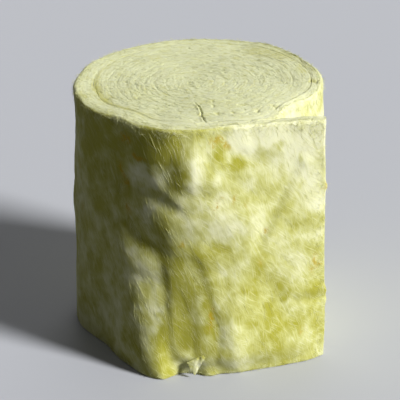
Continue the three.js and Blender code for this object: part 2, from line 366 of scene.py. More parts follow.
@dataclass(frozen=True)
class Crease:
    """A soft ridge or hollow of the side wall that follows a line across the blanket."""

    path: tuple[Triple, ...]  # its corners: run, height, and how far it stands out
    left_width: float  # how far it spreads to its left, looking along the path with the wall upright
    right_width: float

    def at(self, run: Array, z: Array) -> Array:
        """Its height: a bell curve of the distance from the nearest stretch of its path.

        Args:
            run: runs along the blanket.
            z: heights.

        Returns:
            How far the crease pushes the wall out at each. Its width goes from left to right with the
            sine of the angle between the path's direction and the way from its nearest point.
        """
        nearest = np.full(np.broadcast(run, z).shape, np.inf)
        height = np.zeros_like(nearest)
        for start, end in zip(self.path, self.path[1:]):
            step = (end[0] - start[0], end[1] - start[1])
            along = ((run - start[0]) * step[0] + (z - start[1]) * step[1]) / (step[0] ** 2 + step[1] ** 2)
            along = np.clip(along, 0.0, 1.0)
            away = (run - start[0] - along * step[0], z - start[1] - along * step[1])
            distance = away[0] ** 2 + away[1] ** 2
            side = (away[0] * step[1] - away[1] * step[0]) / math.hypot(*step) / np.sqrt(distance + TINY)
            width = self.left_width + (self.right_width - self.left_width) * 0.5 * (1.0 + side)
            outward = start[2] + (end[2] - start[2]) * smoothstep(along, 0.0, 1.0)
            closer = distance < nearest
            height = np.where(closer, outward * np.exp(-distance / width**2), height)
            nearest = np.where(closer, distance, nearest)
        return height


def crease(left: float, right: float, *path: Triple) -> Crease:
    """A crease from its two widths and its path's corners, all in millimetres."""
    corners = tuple((run / MM, height / MM, outward / MM) for run, height, outward in path)
    return Crease(corners, left / MM, right / MM)


CREASES: tuple[Crease, ...] = (
    # The left flank of the pinched corner, the notch beside it, and the narrow valley to its right.
    crease(30, 34, (-145, 250, 4), (-128, 100, 4), (-108, 20, 3)),
    crease(26, 20, (-16, 0, 10), (-14, 40, 6)),
    crease(26, 12, (-52, 50, -3), (-72, 260, -3)),
    # The full panel beyond it, which swells on into the flap, and its lobe at the foot.
    crease(85, 120, (70, 60, 16), (40, 340, 10)),
    crease(18, 20, (26, 0, 12), (24, 30, 4)),
    # The valley to the right of the panel, and the small ridge beside it.
    crease(24, 12, (42, 40, -3), (48, 110, -4), (6, 280, -3)),
    crease(16, 22, (85, 20, 4), (80, 150, 3)),
    # The shoulder where the flap leaves the roll, and the leaning folds below it.
    crease(58, 100, (30, 330, 0), (24, 400, 8), (2, 480, 14), (-14, 575, 6)),
    crease(34, 50, (4, 440, 0), (-2, 480, 8), (-14, 525, 7), (-36, 580, 4)),
    crease(12, 22, (-30, 425, 3), (-105, 475, 2.5)),
    crease(50, 50, (-50, 385, 7), (-30, 330, 4)),
    crease(14, 20, (-30, 400, -1.6), (-120, 445, -2.2)),
    crease(18, 26, (-60, 345, 1.5), (-130, 415, 2)),
    crease(18, 24, (-80, 290, -3), (-170, 360, -3)),
    crease(30, 30, (-120, 260, 4), (-200, 330, 3)),
    # The flap: one level crease near its top, one that leans down to the left, and shallow dents.
    crease(12, 18, (80, 534, -1.4), (165, 524, -0.6)),
    crease(18, 22, (95, 552, 1.2), (165, 546, 0.8)),
    crease(14, 14, (246, 500, 3), (157, 313, 3)),
    crease(16, 18, (236, 490, -3), (146, 318, -3)),
    crease(12, 12, (128, 598, -1), (134, 540, -1)),
    crease(44, 40, (160, 230, -5), (200, 140, -5)),
    crease(20, 14, (230, 168, -2.5), (292, 156, -2.5)),
    crease(18, 18, (215, 188, 2.5), (292, 180, 2.5)),
    crease(44, 44, (100, 370, 4), (150, 270, 4)),
    # The full upper corner left of the shoulder, and the fold that runs down from it on the left.
    crease(60, 60, (-200, 600, 6), (-180, 520, 6), (-150, 450, 2)),
    crease(75, 46, (-118, 600, 7), (-104, 520, 10), (-80, 470, 5)),
    crease(34, 40, (-190, 380, 4), (-178, 270, 9), (-160, 150, 4)),
    # The foot of the flap, which tucks under.
    crease(45, 45, (30, 0, -7), (110, 0, -10), (200, 0, -6)),
    # The rim on the left, which stands out over the hollow below it.
    crease(50, 50, (-250, 600, 6), (-170, 600, 9), (-95, 600, 4)),
    # Long shallow dents round the sides and back, where the roll was strapped and leant.
    crease(60, 60, (-400, 520, -6), (-405, 380, -7)),
    crease(60, 60, (-520, 600, -7), (-520, 540, -5)),
    crease(50, 60, (-380, 180, -6), (-330, 420, -6)),
    crease(50, 60, (-470, 300, 4), (-520, 500, 4)),
    crease(45, 60, (-720, 60, -9), (-640, 300, -7)),
    crease(60, 50, (-800, 260, -6), (-860, 520, -8)),
    crease(50, 55, (-1090, 40, 8), (-1020, 330, 8)),
    crease(50, 55, (-1170, 230, -8), (-1230, 540, -7)),
    crease(50, 50, (-1420, 50, -7), (-1360, 320, -7)),
)


@dataclass(frozen=True)
class WallRelief:
    """The side wall's relief: named creases, and the soft lumps and tufts of the glass wool."""

    noise: SmoothNoise = SmoothNoise(11)
    creases: tuple[Crease, ...] = CREASES
    swell: float = 0.0040
    swell_size: float = 0.15
    calm_runs: Pair = (0.03, 0.12)  # over which the swell settles on the flap
    calm_share: float = 0.6
    pillow: float = 0.0026
    pillow_size: float = 0.085
    lock: float = 0.0004
    lock_size: Pair = (0.060, 0.0095)  # of a combed lock of fibres: its length and width
    lock_wander: Pair = (0.0225, 0.05)  # of the locks' places, along the run and up
    wander_size: float = 0.14
    lock_patches: float = 0.07  # the size of the patches that have locks
    lock_lean: float = -60.0  # degrees from level, falling along the run
    hidden_from: float = 0.84  # turns: past here the wall slips in behind the flap, and lies calm
    hidden_by: float = 0.89

    def locks(self, run: Array, z: Array, places: Array) -> Array:
        """Noise drawn out along the combed direction, which wanders by a coarser noise of the place."""
        lean = math.radians(self.lock_lean)
        run = run + self.lock_wander[0] * self.noise.at(places + 11.0, self.wander_size)
        z = z + self.lock_wander[1] * self.noise.at(places + 17.0, self.wander_size)
        along = (run * math.cos(lean) + z * math.sin(lean)) / self.lock_size[0]
        across = (z * math.cos(lean) - run * math.sin(lean)) / self.lock_size[1]
        drawn = stacked(along, across, 0.0)
        strength = smoothstep(self.noise.at(places + 21.0, self.lock_patches), -0.8, 0.5)
        return strength * self.noise.at(drawn, 1.0)

    def at(self, run: Array, z: Array, places: Array) -> Array:
        """How far the wall stands proud of the roll's form.

        Args:
            run: runs along the blanket.
            z: heights.
            places: the same points in space.

        Returns:
            The creases' sum plus lumps of two sizes and combed locks, which fades out behind the flap.
        """
        calm = 1.0 - self.calm_share * smoothstep(run, *self.calm_runs)
        relief = self.swell * calm * self.noise.layered(places, self.swell_size, 3, 0.40)
        relief += self.pillow * self.noise.pillowed(places + 3.0, self.pillow_size, 1)
        relief += self.lock * self.locks(run, z, places)
        for crease in self.creases:
            relief += crease.at(run, z)
        turns = np.maximum(-run, 0.0) / (2.0 * math.pi * RollForm.radius)
        return relief * (1.0 - smoothstep(turns, self.hidden_from, self.hidden_by))


@dataclass(frozen=True)
class EndRelief:
    """The felted end of the roll: seams between turns, finer layers, pits, and one split."""

    form: RollForm = RollForm()
    noise: SmoothNoise = SmoothNoise(23)
    round_lobes: float = 7.0  # how quickly patterns change round the roll
    seam_half: float = 0.0015
    seam_depth: float = 0.0011
    gape_depth: float = 0.0002
    gape_spread: float = 45.0
    crown: float = 0.0004  # how far a turn stands out between its seams
    layer_pitch: float = 0.0084
    layer_depth: float = 0.00032
    layer_wander: float = 0.9
    wander_size: float = 0.030
    felt: float = 0.00034
    felt_size: float = 0.0042
    swell: float = 0.0035
    swell_size: float = 0.13
    ragged: float = 0.0013  # the unevenness of the rim
    ragged_size: float = 0.024
    ragged_reach: float = 0.020
    pit_depth: float = 0.0035
    pit_size: float = 0.014
    pit_share: float = 0.35  # of their depth, that pits keep away from their place
    pit_bearing: float = 290.0
    pit_radius: float = 0.190
    pit_spread: float = 0.075
    sink: float = 0.012  # how far the rim sinks where the outer turn runs in behind the flap
    sink_bearing: float = -22.0
    sink_spread: float = 26.0
    sink_reach: float = 0.022
    sink_depths: Pair = (-0.012, -0.002)  # over which it starts, outside the side wall
    nick_depth: float = 0.0045
    nick_ragged: float = 0.006
    nick_size: float = 0.012  # of the lumps of its ragged edge
    nicks: tuple[Triple, ...] = (  # torn places: x, y and half width
        (0.100, -0.137, 0.007), (0.132, -0.173, 0.006), (0.175, -0.143, 0.009),
        (0.044, -0.190, 0.006), (0.075, -0.184, 0.004), (0.264, 0.017, 0.007),
    )
    split_half: float = 0.0014
    split_depth: float = 0.0065
    split_from_rim: float = 0.034
    split_length: float = 0.125
    split_bearings: Pair = (274.5, 266.5)
    split_wavers: tuple[Pair, ...] = ((0.003, 7.0), (0.0007, 23.0))  # sizes and paces
    split_lip: float = 0.22  # its raised side, as a share of its depth

    def sunk(self, bearing: Array, depth: Array) -> Array:
        """How far the rim has sunk: a bell curve of the bearing that fades inwards from the rim."""
        near = np.exp(-np.maximum(depth, 0.0) / self.sink_reach) * smoothstep(depth, *self.sink_depths)
        return self.sink * self.form.bell(bearing, self.sink_bearing, self.sink_spread) * near

    def nicked(self, xy: Array) -> Array:
        """How torn the felt is, from 0 to 1 or a little more: ragged bell curves round the nicks."""
        flat = raised(xy, 0.0)
        lumps = [self.noise.layered(flat + k, self.nick_size, 2) for k in (0.0, 5.0)]
        ragged = xy + self.nick_ragged * stacked(*lumps)
        torn = np.zeros(xy.shape[:-1])
        for x, y, half in self.nicks:
            away = ragged - np.array([x, y])
            torn += np.exp(-dot(away, away) / half**2)
        return torn

    def split(self, xy: Array) -> Array:
        """The split's depth: a V along a leaning line, which wavers and fades at both ends."""
        rim = float(self.form.wall_radius(np.array(self.split_bearings[0]), np.array(self.form.width)))
        reach = (rim - self.split_from_rim, rim - self.split_from_rim - self.split_length)
        outer, inner = polar(np.array(self.split_bearings), np.array(reach))
        line = inner - outer
        share = dot(xy - outer, line) / dot(line, line)
        across = ((xy - outer)[..., 0] * line[1] - (xy - outer)[..., 1] * line[0]) / np.hypot(*line)
        for size, pace in self.split_wavers:
            across = across + size * np.sin(pace * share)
        fade = smoothstep(share, -0.04, 0.12) * (1.0 - smoothstep(share, 0.75, 1.03))
        groove = np.exp(-((across / self.split_half) ** 2))
        lip = self.split_lip * np.exp(-(((across + 3.0 * self.split_half) / (2.0 * self.split_half)) ** 2))
        return fade * self.split_depth * (lip - groove)

    def at(self, xy: Array) -> Array:
        """How far the end stands above its flat, seen from above.

        Grooves lie where the turn is a whole number and crowns between them; finer layers follow the
        depth under the side wall, at one pitch with a wandering phase; felt is noise drawn out round
        the roll; pits are the peaks of a coarser noise, deepest round one place.

        Args:
            xy: points seen from above.

        Returns:
            The height at each point.
        """
        bearing, depth, turn = self.form.depth_at(xy)
        ring = self.round_lobes * polar(bearing, np.ones_like(bearing))
        flat = raised(xy, 0.0)
        seam_number = np.round(turn)
        off_seam = np.abs(turn - seam_number) * self.form.pitch
        open_seam = smoothstep(self.noise.at(raised(ring, 1.7 * seam_number), 1.6), -0.3, 0.9)
        slack = self.form.bell(bearing, self.form.slack_bearing, self.gape_spread)
        gape = np.where(seam_number == 0.0, slack, 0.0)
        deep = self.seam_depth * open_seam + self.gape_depth * gape
        seams = deep * np.exp(-((off_seam / (self.seam_half * (1.0 + gape))) ** 2))
        crown = self.crown * np.abs(np.sin(math.pi * turn))
        drawn = raised(1.5 * ring, depth / self.felt_size)
        wander = self.noise.at(raised(0.6 * ring, depth / self.wander_size), 1.0)
        layers = np.abs(np.sin(math.pi * (depth / self.layer_pitch + self.layer_wander * wander)))
        layers = self.layer_depth * layers * smoothstep(self.noise.at(drawn, 3.0), -0.7, 0.3)
        felt = self.felt * self.noise.layered(drawn, 1.0, 3, 0.7)
        swell = self.swell * self.noise.layered(flat + 1.3, self.swell_size, 2)
        rim = self.ragged * self.noise.layered(flat + 4.1, self.ragged_size, 2, 0.6)
        swell += rim * np.exp(-np.abs(depth) / self.ragged_reach)
        spot = xy - polar(np.array(self.pit_bearing), np.array(self.pit_radius))
        crumbly = self.pit_share + (1.0 - self.pit_share) * np.exp(-dot(spot, spot) / self.pit_spread**2)
        peaks = smoothstep(self.noise.layered(flat + 2.9, self.pit_size, 2, 0.6), 0.42, 1.0)
        pits = self.pit_depth * crumbly * peaks
        torn = self.nick_depth * self.nicked(xy) + self.sunk(bearing, depth)
        return swell + crown + layers + felt - seams - pits - torn + self.split(xy)


class Shade(Enum):
    """The ways in which a patch of the blanket differs in colour, painted highlight and shade among them."""

    # paler wool, and painted highlight where the light falls on the flap's top, the shoulder and the ridges
    # of the foot
    PALE_AND_PAINTED_LIGHT = "pale_and_painted_light"
    # deeper yellow, and painted shade over the shaded left side and the dim panel and middle of the front
    OLIVE_AND_PAINTED_SHADE = "olive_and_painted_shade"
    AMBER = "amber"


@dataclass(frozen=True)
class Patch:
    """A cloudy patch of another shade on the side wall."""

    shade: Shade
    run: float
    height: float
    half_run: float
    half_height: float
    strength: float = 1.0

    def at(self, run: Array, z: Array) -> Array:
        """How strong it is: a bell curve of the distance, in half widths, from its middle."""
        away = ((run - self.run) / self.half_run) ** 2 + ((z - self.height) / self.half_height) ** 2
        return self.strength * np.exp(-away)


def patches(shade: Shade, *rows: tuple[float, float, float, float, float]) -> tuple[Patch, ...]:
    """Patches of one shade, from rows of run, height and their half sizes in millimetres, and strength."""
    return tuple(Patch(shade, *(size / MM for size in row[:4]), row[4]) for row in rows)


PATCHES: tuple[Patch, ...] = (
    # The pale side of the flap and of the shoulder, partly pale wool and partly painted highlight where they
    # are lit most, painted highlight on the lit ridges of the foot, and its pale tufts.
    *patches(
        Shade.PALE_AND_PAINTED_LIGHT, (220, 578, 120, 66, 1.5), (140, 440, 150, 140, 0.15), (260, 440, 40, 90, 0.5),
        (140, 585, 50, 22, 0.8), (95, 568, 22, 26, 1.1), (6, 500, 14, 70, 0.4), (80, 370, 40, 40, 0.4),
        (-120, 478, 40, 26, 0.9), (-110, 395, 40, 30, 0.7), (-130, 260, 50, 50, 0.4),
        (-90, 140, 16, 100, 0.8), (0, 25, 22, 22, 1.2), (57, 115, 12, 50, 0.4), (205, 155, 30, 14, 0.7),
    ),
    # Deeper yellow round the rim on the left, in the valleys, and over the flap's lower half; over the shaded
    # left side and the dim panel and middle of the front it is partly painted shade.
    *patches(
        Shade.OLIVE_AND_PAINTED_SHADE, (-300, 320, 160, 300, 0.85), (-260, 550, 60, 50, 1), (-250, 490, 50, 50, 0.6),
        (-130, 530, 60, 40, 0.9), (-80, 550, 60, 45, 1.8), (-40, 535, 20, 60, 1.6),
        (-32, 480, 18, 30, 1.3), (-172, 425, 36, 40, 0.8), (-140, 350, 50, 40, 0.8),
        (-120, 315, 35, 18, 1), (-55, 280, 30, 20, 0.5), (-65, 150, 10, 100, 0.7),
        (-20, 200, 25, 60, 0.8), (-10, 110, 30, 50, 0.6), (20, 250, 12, 50, 0.7), (33, 160, 12, 60, 1),
        (45, 80, 14, 50, 0.8), (-95, 40, 30, 30, 0.7), (-360, 30, 50, 30, 0.6), (40, 320, 50, 50, 0.4),
        (150, 90, 260, 180, 0.8), (175, 215, 30, 50, 0.5), (150, 255, 20, 30, 0.4),
        (190, 150, 30, 30, 0.3), (250, 190, 40, 18, 0.6), (104, 515, 40, 12, 1.2), (47, 548, 24, 24, 1.4),
        (151, 535, 22, 20, 1.25), (191, 541, 20, 16, 1.2), (137, 582, 8, 18, 1.1), (243, 520, 6, 70, 1.3),
        (266, 550, 4, 40, 0.9), (210, 390, 80, 70, 0.35), (115, 400, 10, 20, 0.5),
        (200, 430, 20, 40, 0.3), (68, 512, 34, 30, 1.1),
    ),
    # Specks of binder.
    *patches(
        Shade.AMBER, (34, 150, 3, 22, 1.7), (43, 422, 7, 5, 1.6), (50, 428, 5, 6, 1),
        (30, 561, 4, 6, 1.1), (52, 568, 14, 8, 1), (72, 556, 10, 10, 1), (86, 430, 3, 16, 1.1),
        (115, 417, 4, 8, 0.5), (161, 355, 6, 5, 1.1), (148, 276, 4, 12, 0.6), (279, 252, 5, 14, 1.2),
        (269, 229, 5, 8, 1), (293, 438, 5, 7, 1.2), (242, 82, 5, 9, 0.7), (-23, 325, 5, 5, 1.1),
        (-135, 517, 12, 6, 2), (-170, 554, 12, 10, 1.8), (-188, 470, 6, 20, 1.7), (-176, 438, 6, 12, 1.5),
        (-169, 392, 10, 12, 1.4), (-365, 320, 6, 14, 0.8), (-360, 430, 6, 12, 0.6),
        (-690, 410, 10, 14, 0.7), (-980, 250, 12, 8, 0.7), (-1330, 460, 10, 10, 0.7),
    ),
)

END_PATCHES: tuple[Patch, ...] = (
    # Deeper yellow on the top end: here a patch's run and height stand for x and y.
    *patches(
        Shade.OLIVE_AND_PAINTED_SHADE, (143, 215, 50, 30, 0.4), (206, 174, 50, 30, 0.55), (249, 94, 25, 40, 0.4),
        (264, 17, 8, 14, 0.6), (-231, -21, 12, 30, 0.6), (-207, -101, 18, 14, 0.6),
        (-255, -80, 16, 10, 0.4), (30, -125, 50, 20, 0.3), (13, -190, 10, 16, 0.7),
        (-103, 161, 20, 20, 0.3), (-150, -60, 60, 40, 0.2),
    ),
)


class MeshDraft:
    """The points and faces of one closed mesh, gathered block by block."""

    def __init__(self) -> None:
        """Starts with no points and no faces."""
        self.points: list[Array] = []
        self.lays: list[Array] = []
        self.ends: list[Array] = []
        self.faces: list[Index] = []
        self.count = 0

    def add(self, points: Array, lay: Array, end: Array) -> Index:
        """Takes in a block of points.

        Args:
            points: places in space, of any leading shape.
            lay: where each lies on the blanket, along its run and across it.
            end: 1 on the roll's ends, 0 on its side wall.

        Returns:
            The points' numbers, in the block's leading shape.
        """
        shape = points.shape[:-1]
        number = self.count + np.arange(int(np.prod(shape))).reshape(shape)
        self.points.append(points.reshape(-1, 3))
        self.lays.append(np.broadcast_to(lay, shape + (2,)).reshape(-1, 2))
        self.ends.append(np.broadcast_to(end, shape).reshape(-1))
        self.count += number.size
        return number

    def quads(self, block: Index, around: bool = False) -> None:
        """Faces between the rows and columns of a block; around joins its last row to its first."""
        self.between(block if around else block[:-1], np.roll(block, -1, axis=0) if around else block[1:])

    def between(self, here: Index, ahead: Index) -> None:
        """Faces with four corners, along the rows of two arrays of point numbers that face each other."""
        corners = stacked(here[:, :-1], here[:, 1:], ahead[:, 1:], ahead[:, :-1])
        self.faces.append(corners.reshape(-1, 4))

    def triangles(self, a: Index, b: Index, c: Index) -> None:
        """Faces with three corners, from three arrays of point numbers."""
        self.faces.append(stacked(a, b, c).reshape(-1, 3))

    def zip_up(self, fine: Index, coarse: Index, start: Index, coarse_after: bool) -> None:
        """Faces between a row of many points and a row of few.

        Each step of the fine row makes a triangle with the coarse point at or before it, and each step of
        the coarse row one with the fine point where it ends.

        Args:
            fine: the row of many points.
            coarse: the row of few.
            start: for each coarse point, the place in the fine row that it faces.
            coarse_after: whether the coarse row follows the fine one in the order of columns.
        """
        steps = np.arange(len(fine) - 1)
        facing = np.searchsorted(start, steps, side="right") - 1
        ends = start[1:]
        if coarse_after:
            self.triangles(fine[:-1], coarse[facing], fine[1:])
            self.triangles(fine[ends], coarse[:-1], coarse[1:])
        else:
            self.triangles(coarse[facing], fine[:-1], fine[1:])
            self.triangles(coarse[:-1], fine[ends], coarse[1:])

    def build(self, name: str, colouring: "Colouring") -> bpy.types.Object:
        """Makes the mesh and its object, smooth shaded, with its lay as a UV map.

        Args:
            name: the object's name.
            colouring: what gives each point its shades.

        Returns:
            The object, linked to the scene.
        """
        points = np.concatenate(self.points)
        lay = np.concatenate(self.lays)
        mesh = bpy.data.meshes.new(name)
        corners = np.concatenate([f.ravel() for f in self.faces]).astype(np.int32)
        sizes = np.concatenate([np.full(len(f), f.shape[1]) for f in self.faces])
        starts = np.concatenate([[0], np.cumsum(sizes)[:-1]]).astype(np.int32)
        mesh.vertices.add(len(points))
        mesh.vertices.foreach_set("co", points.astype(np.float32).ravel())
        mesh.loops.add(len(corners))
        mesh.loops.foreach_set("vertex_index", corners)
        mesh.polygons.add(len(starts))
        mesh.polygons.foreach_set("loop_start", starts)
        mesh.polygons.foreach_set("use_smooth", np.ones(len(starts), bool))
        mesh.update(calc_edges=True)
        uv = mesh.uv_layers.new(name=LAY_MAP)
        uv.data.foreach_set("uv", lay[corners].astype(np.float32).ravel())
        for key, value in colouring.shades(points, lay, np.concatenate(self.ends)).items():
            layer = mesh.attributes.new(key, "FLOAT", "POINT")
            layer.data.foreach_set("value", value.astype(np.float32))
        mesh.validate()
        return add_object(name, mesh)


@dataclass(frozen=True)
class Colouring:
    """What gives each point of the wool its shades."""

    patches: tuple[Patch, ...] = PATCHES
    end_patches: tuple[Patch, ...] = END_PATCHES
    noise: SmoothNoise = SmoothNoise(37)
    form: RollForm = RollForm()
    ends: EndRelief = EndRelief()
    ragged: float = 0.012  # how far the patches' outlines wander
    ragged_size: float = 0.03
    nick_olive: float = 0.8
    seam_past_slack: float = 8.0  # degrees from the slack's middle to where the open seam is deepest yellow
    seam_spread: float = 40.0
    seam_half: float = 0.010
    front_bearing: float = 308.0  # of the pale front of the top end
    front_spread: float = 55.0
    front_reach: float = 0.05
    front_pale: float = 0.8
    tucked_runs: Pair = (1.15, 1.60)  # back along the blanket, towards behind the flap
    tucked_pale: float = 0.3
    tucked_felt: float = 0.15
    cut_runs: Pair = (0.288, 0.296)  # over which the wall turns to the felt of the cut end
    cut_felt: float = 0.3

    def shades(self, points: Array, lay: Array, end: Array) -> dict[str, Array]:
        """The strength of each shade at each point, and how much of an end it is.

        Args:
            points: places in space.
            lay: runs along the blanket and heights across it.
            end: 1 on the roll's ends, 0 on its side wall.

        Returns:
            An array for each shade's name, and one named end.
        """
        lumps = [self.noise.layered(points + k, self.ragged_size, 3) for k in (0.0, 9.0)]
        ragged = self.ragged * stacked(*lumps)
        on_wall = 1.0 - end
        sums = {shade.value: np.zeros(len(points)) for shade in Shade}
        run, height = (lay + ragged).T
        # the side wall's pale and olive patches paint highlight and shade as well as the wool's own colour
        for patch in self.patches:
            sums[patch.shade.value] += patch.at(run, height) * on_wall
        x, y = (points[:, :2] + ragged).T
        for patch in self.end_patches:
            sums[patch.shade.value] += patch.at(x, y) * end
        sums[Shade.OLIVE_AND_PAINTED_SHADE.value] += self.nick_olive * self.ends.nicked(points[:, :2]) * end

        bearing = np.degrees(np.arctan2(points[:, 1], points[:, 0]))
        front = self.form.bell(bearing, self.front_bearing, self.front_spread)
        front *= np.exp(-np.maximum(lay[:, 1] - self.form.width, 0.0) / self.front_reach)
        sums[Shade.PALE_AND_PAINTED_LIGHT.value] += self.front_pale * end * front
        gape = self.form.bell(bearing, self.form.slack_bearing + self.seam_past_slack, self.seam_spread)
        seam = self.form.width + self.form.thickness + self.form.slack(bearing)
        sums[Shade.OLIVE_AND_PAINTED_SHADE.value] += end * gape * np.exp(-(((lay[:, 1] - seam) / self.seam_half) ** 2))
        tucked = smoothstep(-run, *self.tucked_runs) * on_wall
        sums[Shade.PALE_AND_PAINTED_LIGHT.value] += self.tucked_pale * tucked
        edge = np.maximum(self.tucked_felt * tucked, self.cut_felt * smoothstep(run, *self.cut_runs))
        sums["end"] = np.maximum(end, edge)
        return sums


@dataclass(frozen=True)
class Surface:
    """A block of finished surface that fibres can lie on: its points, by run or angle, then across."""

    points: Array
    normals: Array

    @staticmethod
    def of(points: Array, around: bool = False) -> "Surface":
        """Works out the normals: the cross product of the steps across and along, at each point."""
        if around:
            along = np.roll(points, -1, axis=0) - np.roll(points, 1, axis=0)
        else:
            along = np.gradient(points, axis=0)
        across = np.gradient(points, axis=1)
        normals = unit(np.cross(across, along))
        if around:
            points, normals = (np.concatenate([grid, grid[:1]]) for grid in (points, normals))
        return Surface(points, normals)

    def sample(self, grid: Array, row: Array, column: Array) -> Array:
        """Blends a grid's four nearest entries to each place between its rows and columns."""
        row = np.clip(row, 0.0, grid.shape[0] - 1.001)
        column = np.clip(column, 0.0, grid.shape[1] - 1.001)
        i, j = row.astype(int), column.astype(int)
        s, t = (row - i)[..., None], (column - j)[..., None]
        low = grid[i, j] * (1.0 - t) + grid[i, j + 1] * t
        high = grid[i + 1, j] * (1.0 - t) + grid[i + 1, j + 1] * t
        return low * (1.0 - s) + high * s

    def at(self, row: Array, column: Array) -> tuple[Array, Array]:
        """The points and unit normals at places between the rows and columns."""
        return self.sample(self.points, row, column), unit(self.sample(self.normals, row, column))


@dataclass
class OuterTurn:
    """The outermost turn of the blanket, with its loose flap: one closed strip."""

    form: RollForm = RollForm()
    wall: WallRelief = WallRelief()
    ends: EndRelief = EndRelief()
    colouring: Colouring = Colouring()
    name: str = "outer_turn"
    front_step: float = 0.0036
    back_step: float = 0.0050
    front_until: float = -0.330
    rows: int = 146
    round_steps: int = 5
    top_round: float = 0.0070
    foot_round: float = 0.004
    inside_round: float = 0.0007
    cut_round: float = 0.004
    band_rows: int = 22
    inner_every: int = 5
    fill: float = 0.35
    felted: Pair = (0.75, 1.0)  # sines of the rim's tilt, over which it turns to felt
    half_limit: float = 0.46  # the largest share of the thickness that a rounding takes
    sinking: Pair = (0.50, 0.59)  # heights over which the wall comes to sink with the rim
    lump: float = 0.007  # the roughness of the flap's inner face, in lumps and in grain
    lump_size: float = 0.06
    grain: float = 0.0012
    grain_size: float = 0.018
    bare_runs: Pair = (0.10, 0.20)  # over which the inner face comes into the open
    cap_bulge: float = 0.0012  # of the cut end
    cap_rough: float = 0.004
    cap_lump_size: float = 0.022
    cap_felt: float = 0.4
    cap_reach: float = 0.93  # share of the thickness across which its points follow the top end's
    cap_lay: float = 0.02  # how far its colours run on round the blanket
    inner_lay: float = 0.03  # how much further across the blanket the inner face's colours start
    tuft_reach: Pair = (0.014, 0.001)  # from the cut: where its tufts start, and are full
    tufts: tuple[Triple, ...] = (  # of the cut end: height, half height, how far out
        (0.438, 0.010, 0.0045), (0.172, 0.012, 0.0045), (0.148, 0.012, 0.0045),
        (0.080, 0.130, 0.0055), (0.550, 0.060, -0.0030),
    )

    def __post_init__(self) -> None:
        """Sets out the stations along the run and the rows across the outer face."""
        end = self.form.flap_run
        tail = -self.form.tail_end * 2.0 * math.pi * self.form.radius
        quarter = np.linspace(0.0, 0.5 * math.pi, self.round_steps)
        slow, quick = 1.0 - np.cos(quarter), 1.0 - np.sin(quarter)
        cut = end - self.cut_round * slow
        front_count = int((cut[-1] - self.front_until) / self.front_step)
        back_count = int((self.front_until - tail) / self.back_step)
        front = np.linspace(cut[-1], self.front_until, front_count + 1)[1:]
        back = np.linspace(self.front_until, tail, back_count + 1)[1:]
        self.runs: Array = np.concatenate([cut, front, back])
        foot, top = self.foot_round, self.top_round
        straight = np.linspace(foot, self.form.width - top, self.rows - 2 * self.round_steps + 3)[1:-1]
        self.heights: Array = np.concatenate([foot * slow, straight, self.form.width - top * quick])
        self.insets: Array = np.concatenate([foot * quick, 0.0 * straight, top * slow])
        self.tilts: Array = np.concatenate([quarter - 0.5 * math.pi, 0.0 * straight, quarter])

    def cut_inset(self) -> Array:
        """How far each station is drawn in by the rounding of the cut end: a quarter circle's sagitta."""
        left = np.clip(self.cut_round - (self.form.flap_run - self.runs), 0.0, self.cut_round)
        return self.cut_round - np.sqrt(self.cut_round**2 - left**2)

    def drawn_in(self, face: Array, other: Array, inset: Array) -> Array:
        """Points of one face moved towards the other by an inset, but no further than the half limit."""
        share = np.minimum(inset / np.linalg.norm(other - face, axis=-1), self.half_limit)
        return face + share[..., None] * (other - face)

    def cut_direction(self, z: Array) -> Array:
        """The unit direction out of the cut end, along the flap's chord."""
        return unit(self.form.flap_chord(z)[1])

    def cut_tufts(self, run: Array, z: Array) -> Array:
        """How far the cut end is pulled out in tufts: bell curves of the height, next to the cut only."""
        near = smoothstep(run, *(self.form.flap_run - reach for reach in self.tuft_reach))
        return near * sum(out * np.exp(-(((z - at) / half) ** 2)) for at, half, out in self.tufts)

    def outer_points(self) -> Array:
        """The outer face with its rounded edges, pushed out by the wall's relief and up by the end's."""
        run, z = self.runs[:, None], self.heights
        outer, inner, outward = self.form.faces(run, z)
        plan = self.drawn_in(outer, inner, self.insets + self.cut_inset()[:, None])
        places = raised(plan, z)
        proud = self.wall.at(np.broadcast_to(run, plan.shape[:2]), places[..., 2], places)
        places[..., :2] += proud[..., None] * outward
        places[..., :2] += self.cut_tufts(run, z)[..., None] * self.cut_direction(z)
        bearing = self.form.flap_bearing - 360.0 * self.form.turns_at(run)
        sunk = np.where(run < 0.0, self.ends.sunk(bearing, 0.0 * run), 0.0)
        places[..., 2] -= sunk * smoothstep(z, *self.sinking) * (1.0 - np.sin(np.maximum(self.tilts, 0.0)))
        top = self.tilts > 0.0
        places[:, top, 2] += self.ends.at(plan[:, top]) * np.sin(self.tilts[top])
        return places

    def band_points(self, shares: Array) -> Array:
        """The top end of the strip, at shares of its thickness from outer edge to inner edge."""
        z = self.form.width
        outer, inner, outward = self.form.faces(self.runs[:, None], z)
        thick = np.linalg.norm(inner - outer, axis=-1)
        cut = self.cut_inset()[:, None]
        start = np.minimum((self.top_round + cut) / thick, self.half_limit)
        stop = 1.0 - np.minimum((self.inside_round + cut) / thick, self.half_limit)
        share = start + (stop - start) * shares
        plan = outer + share[..., None] * (inner - outer)
        proud = self.wall.at(self.runs[:, None], z, raised(outer, z)) * (1.0 - shares) ** 2
        plan = plan + proud[..., None] * outward
        return raised(plan, self.form.width + self.ends.at(plan))

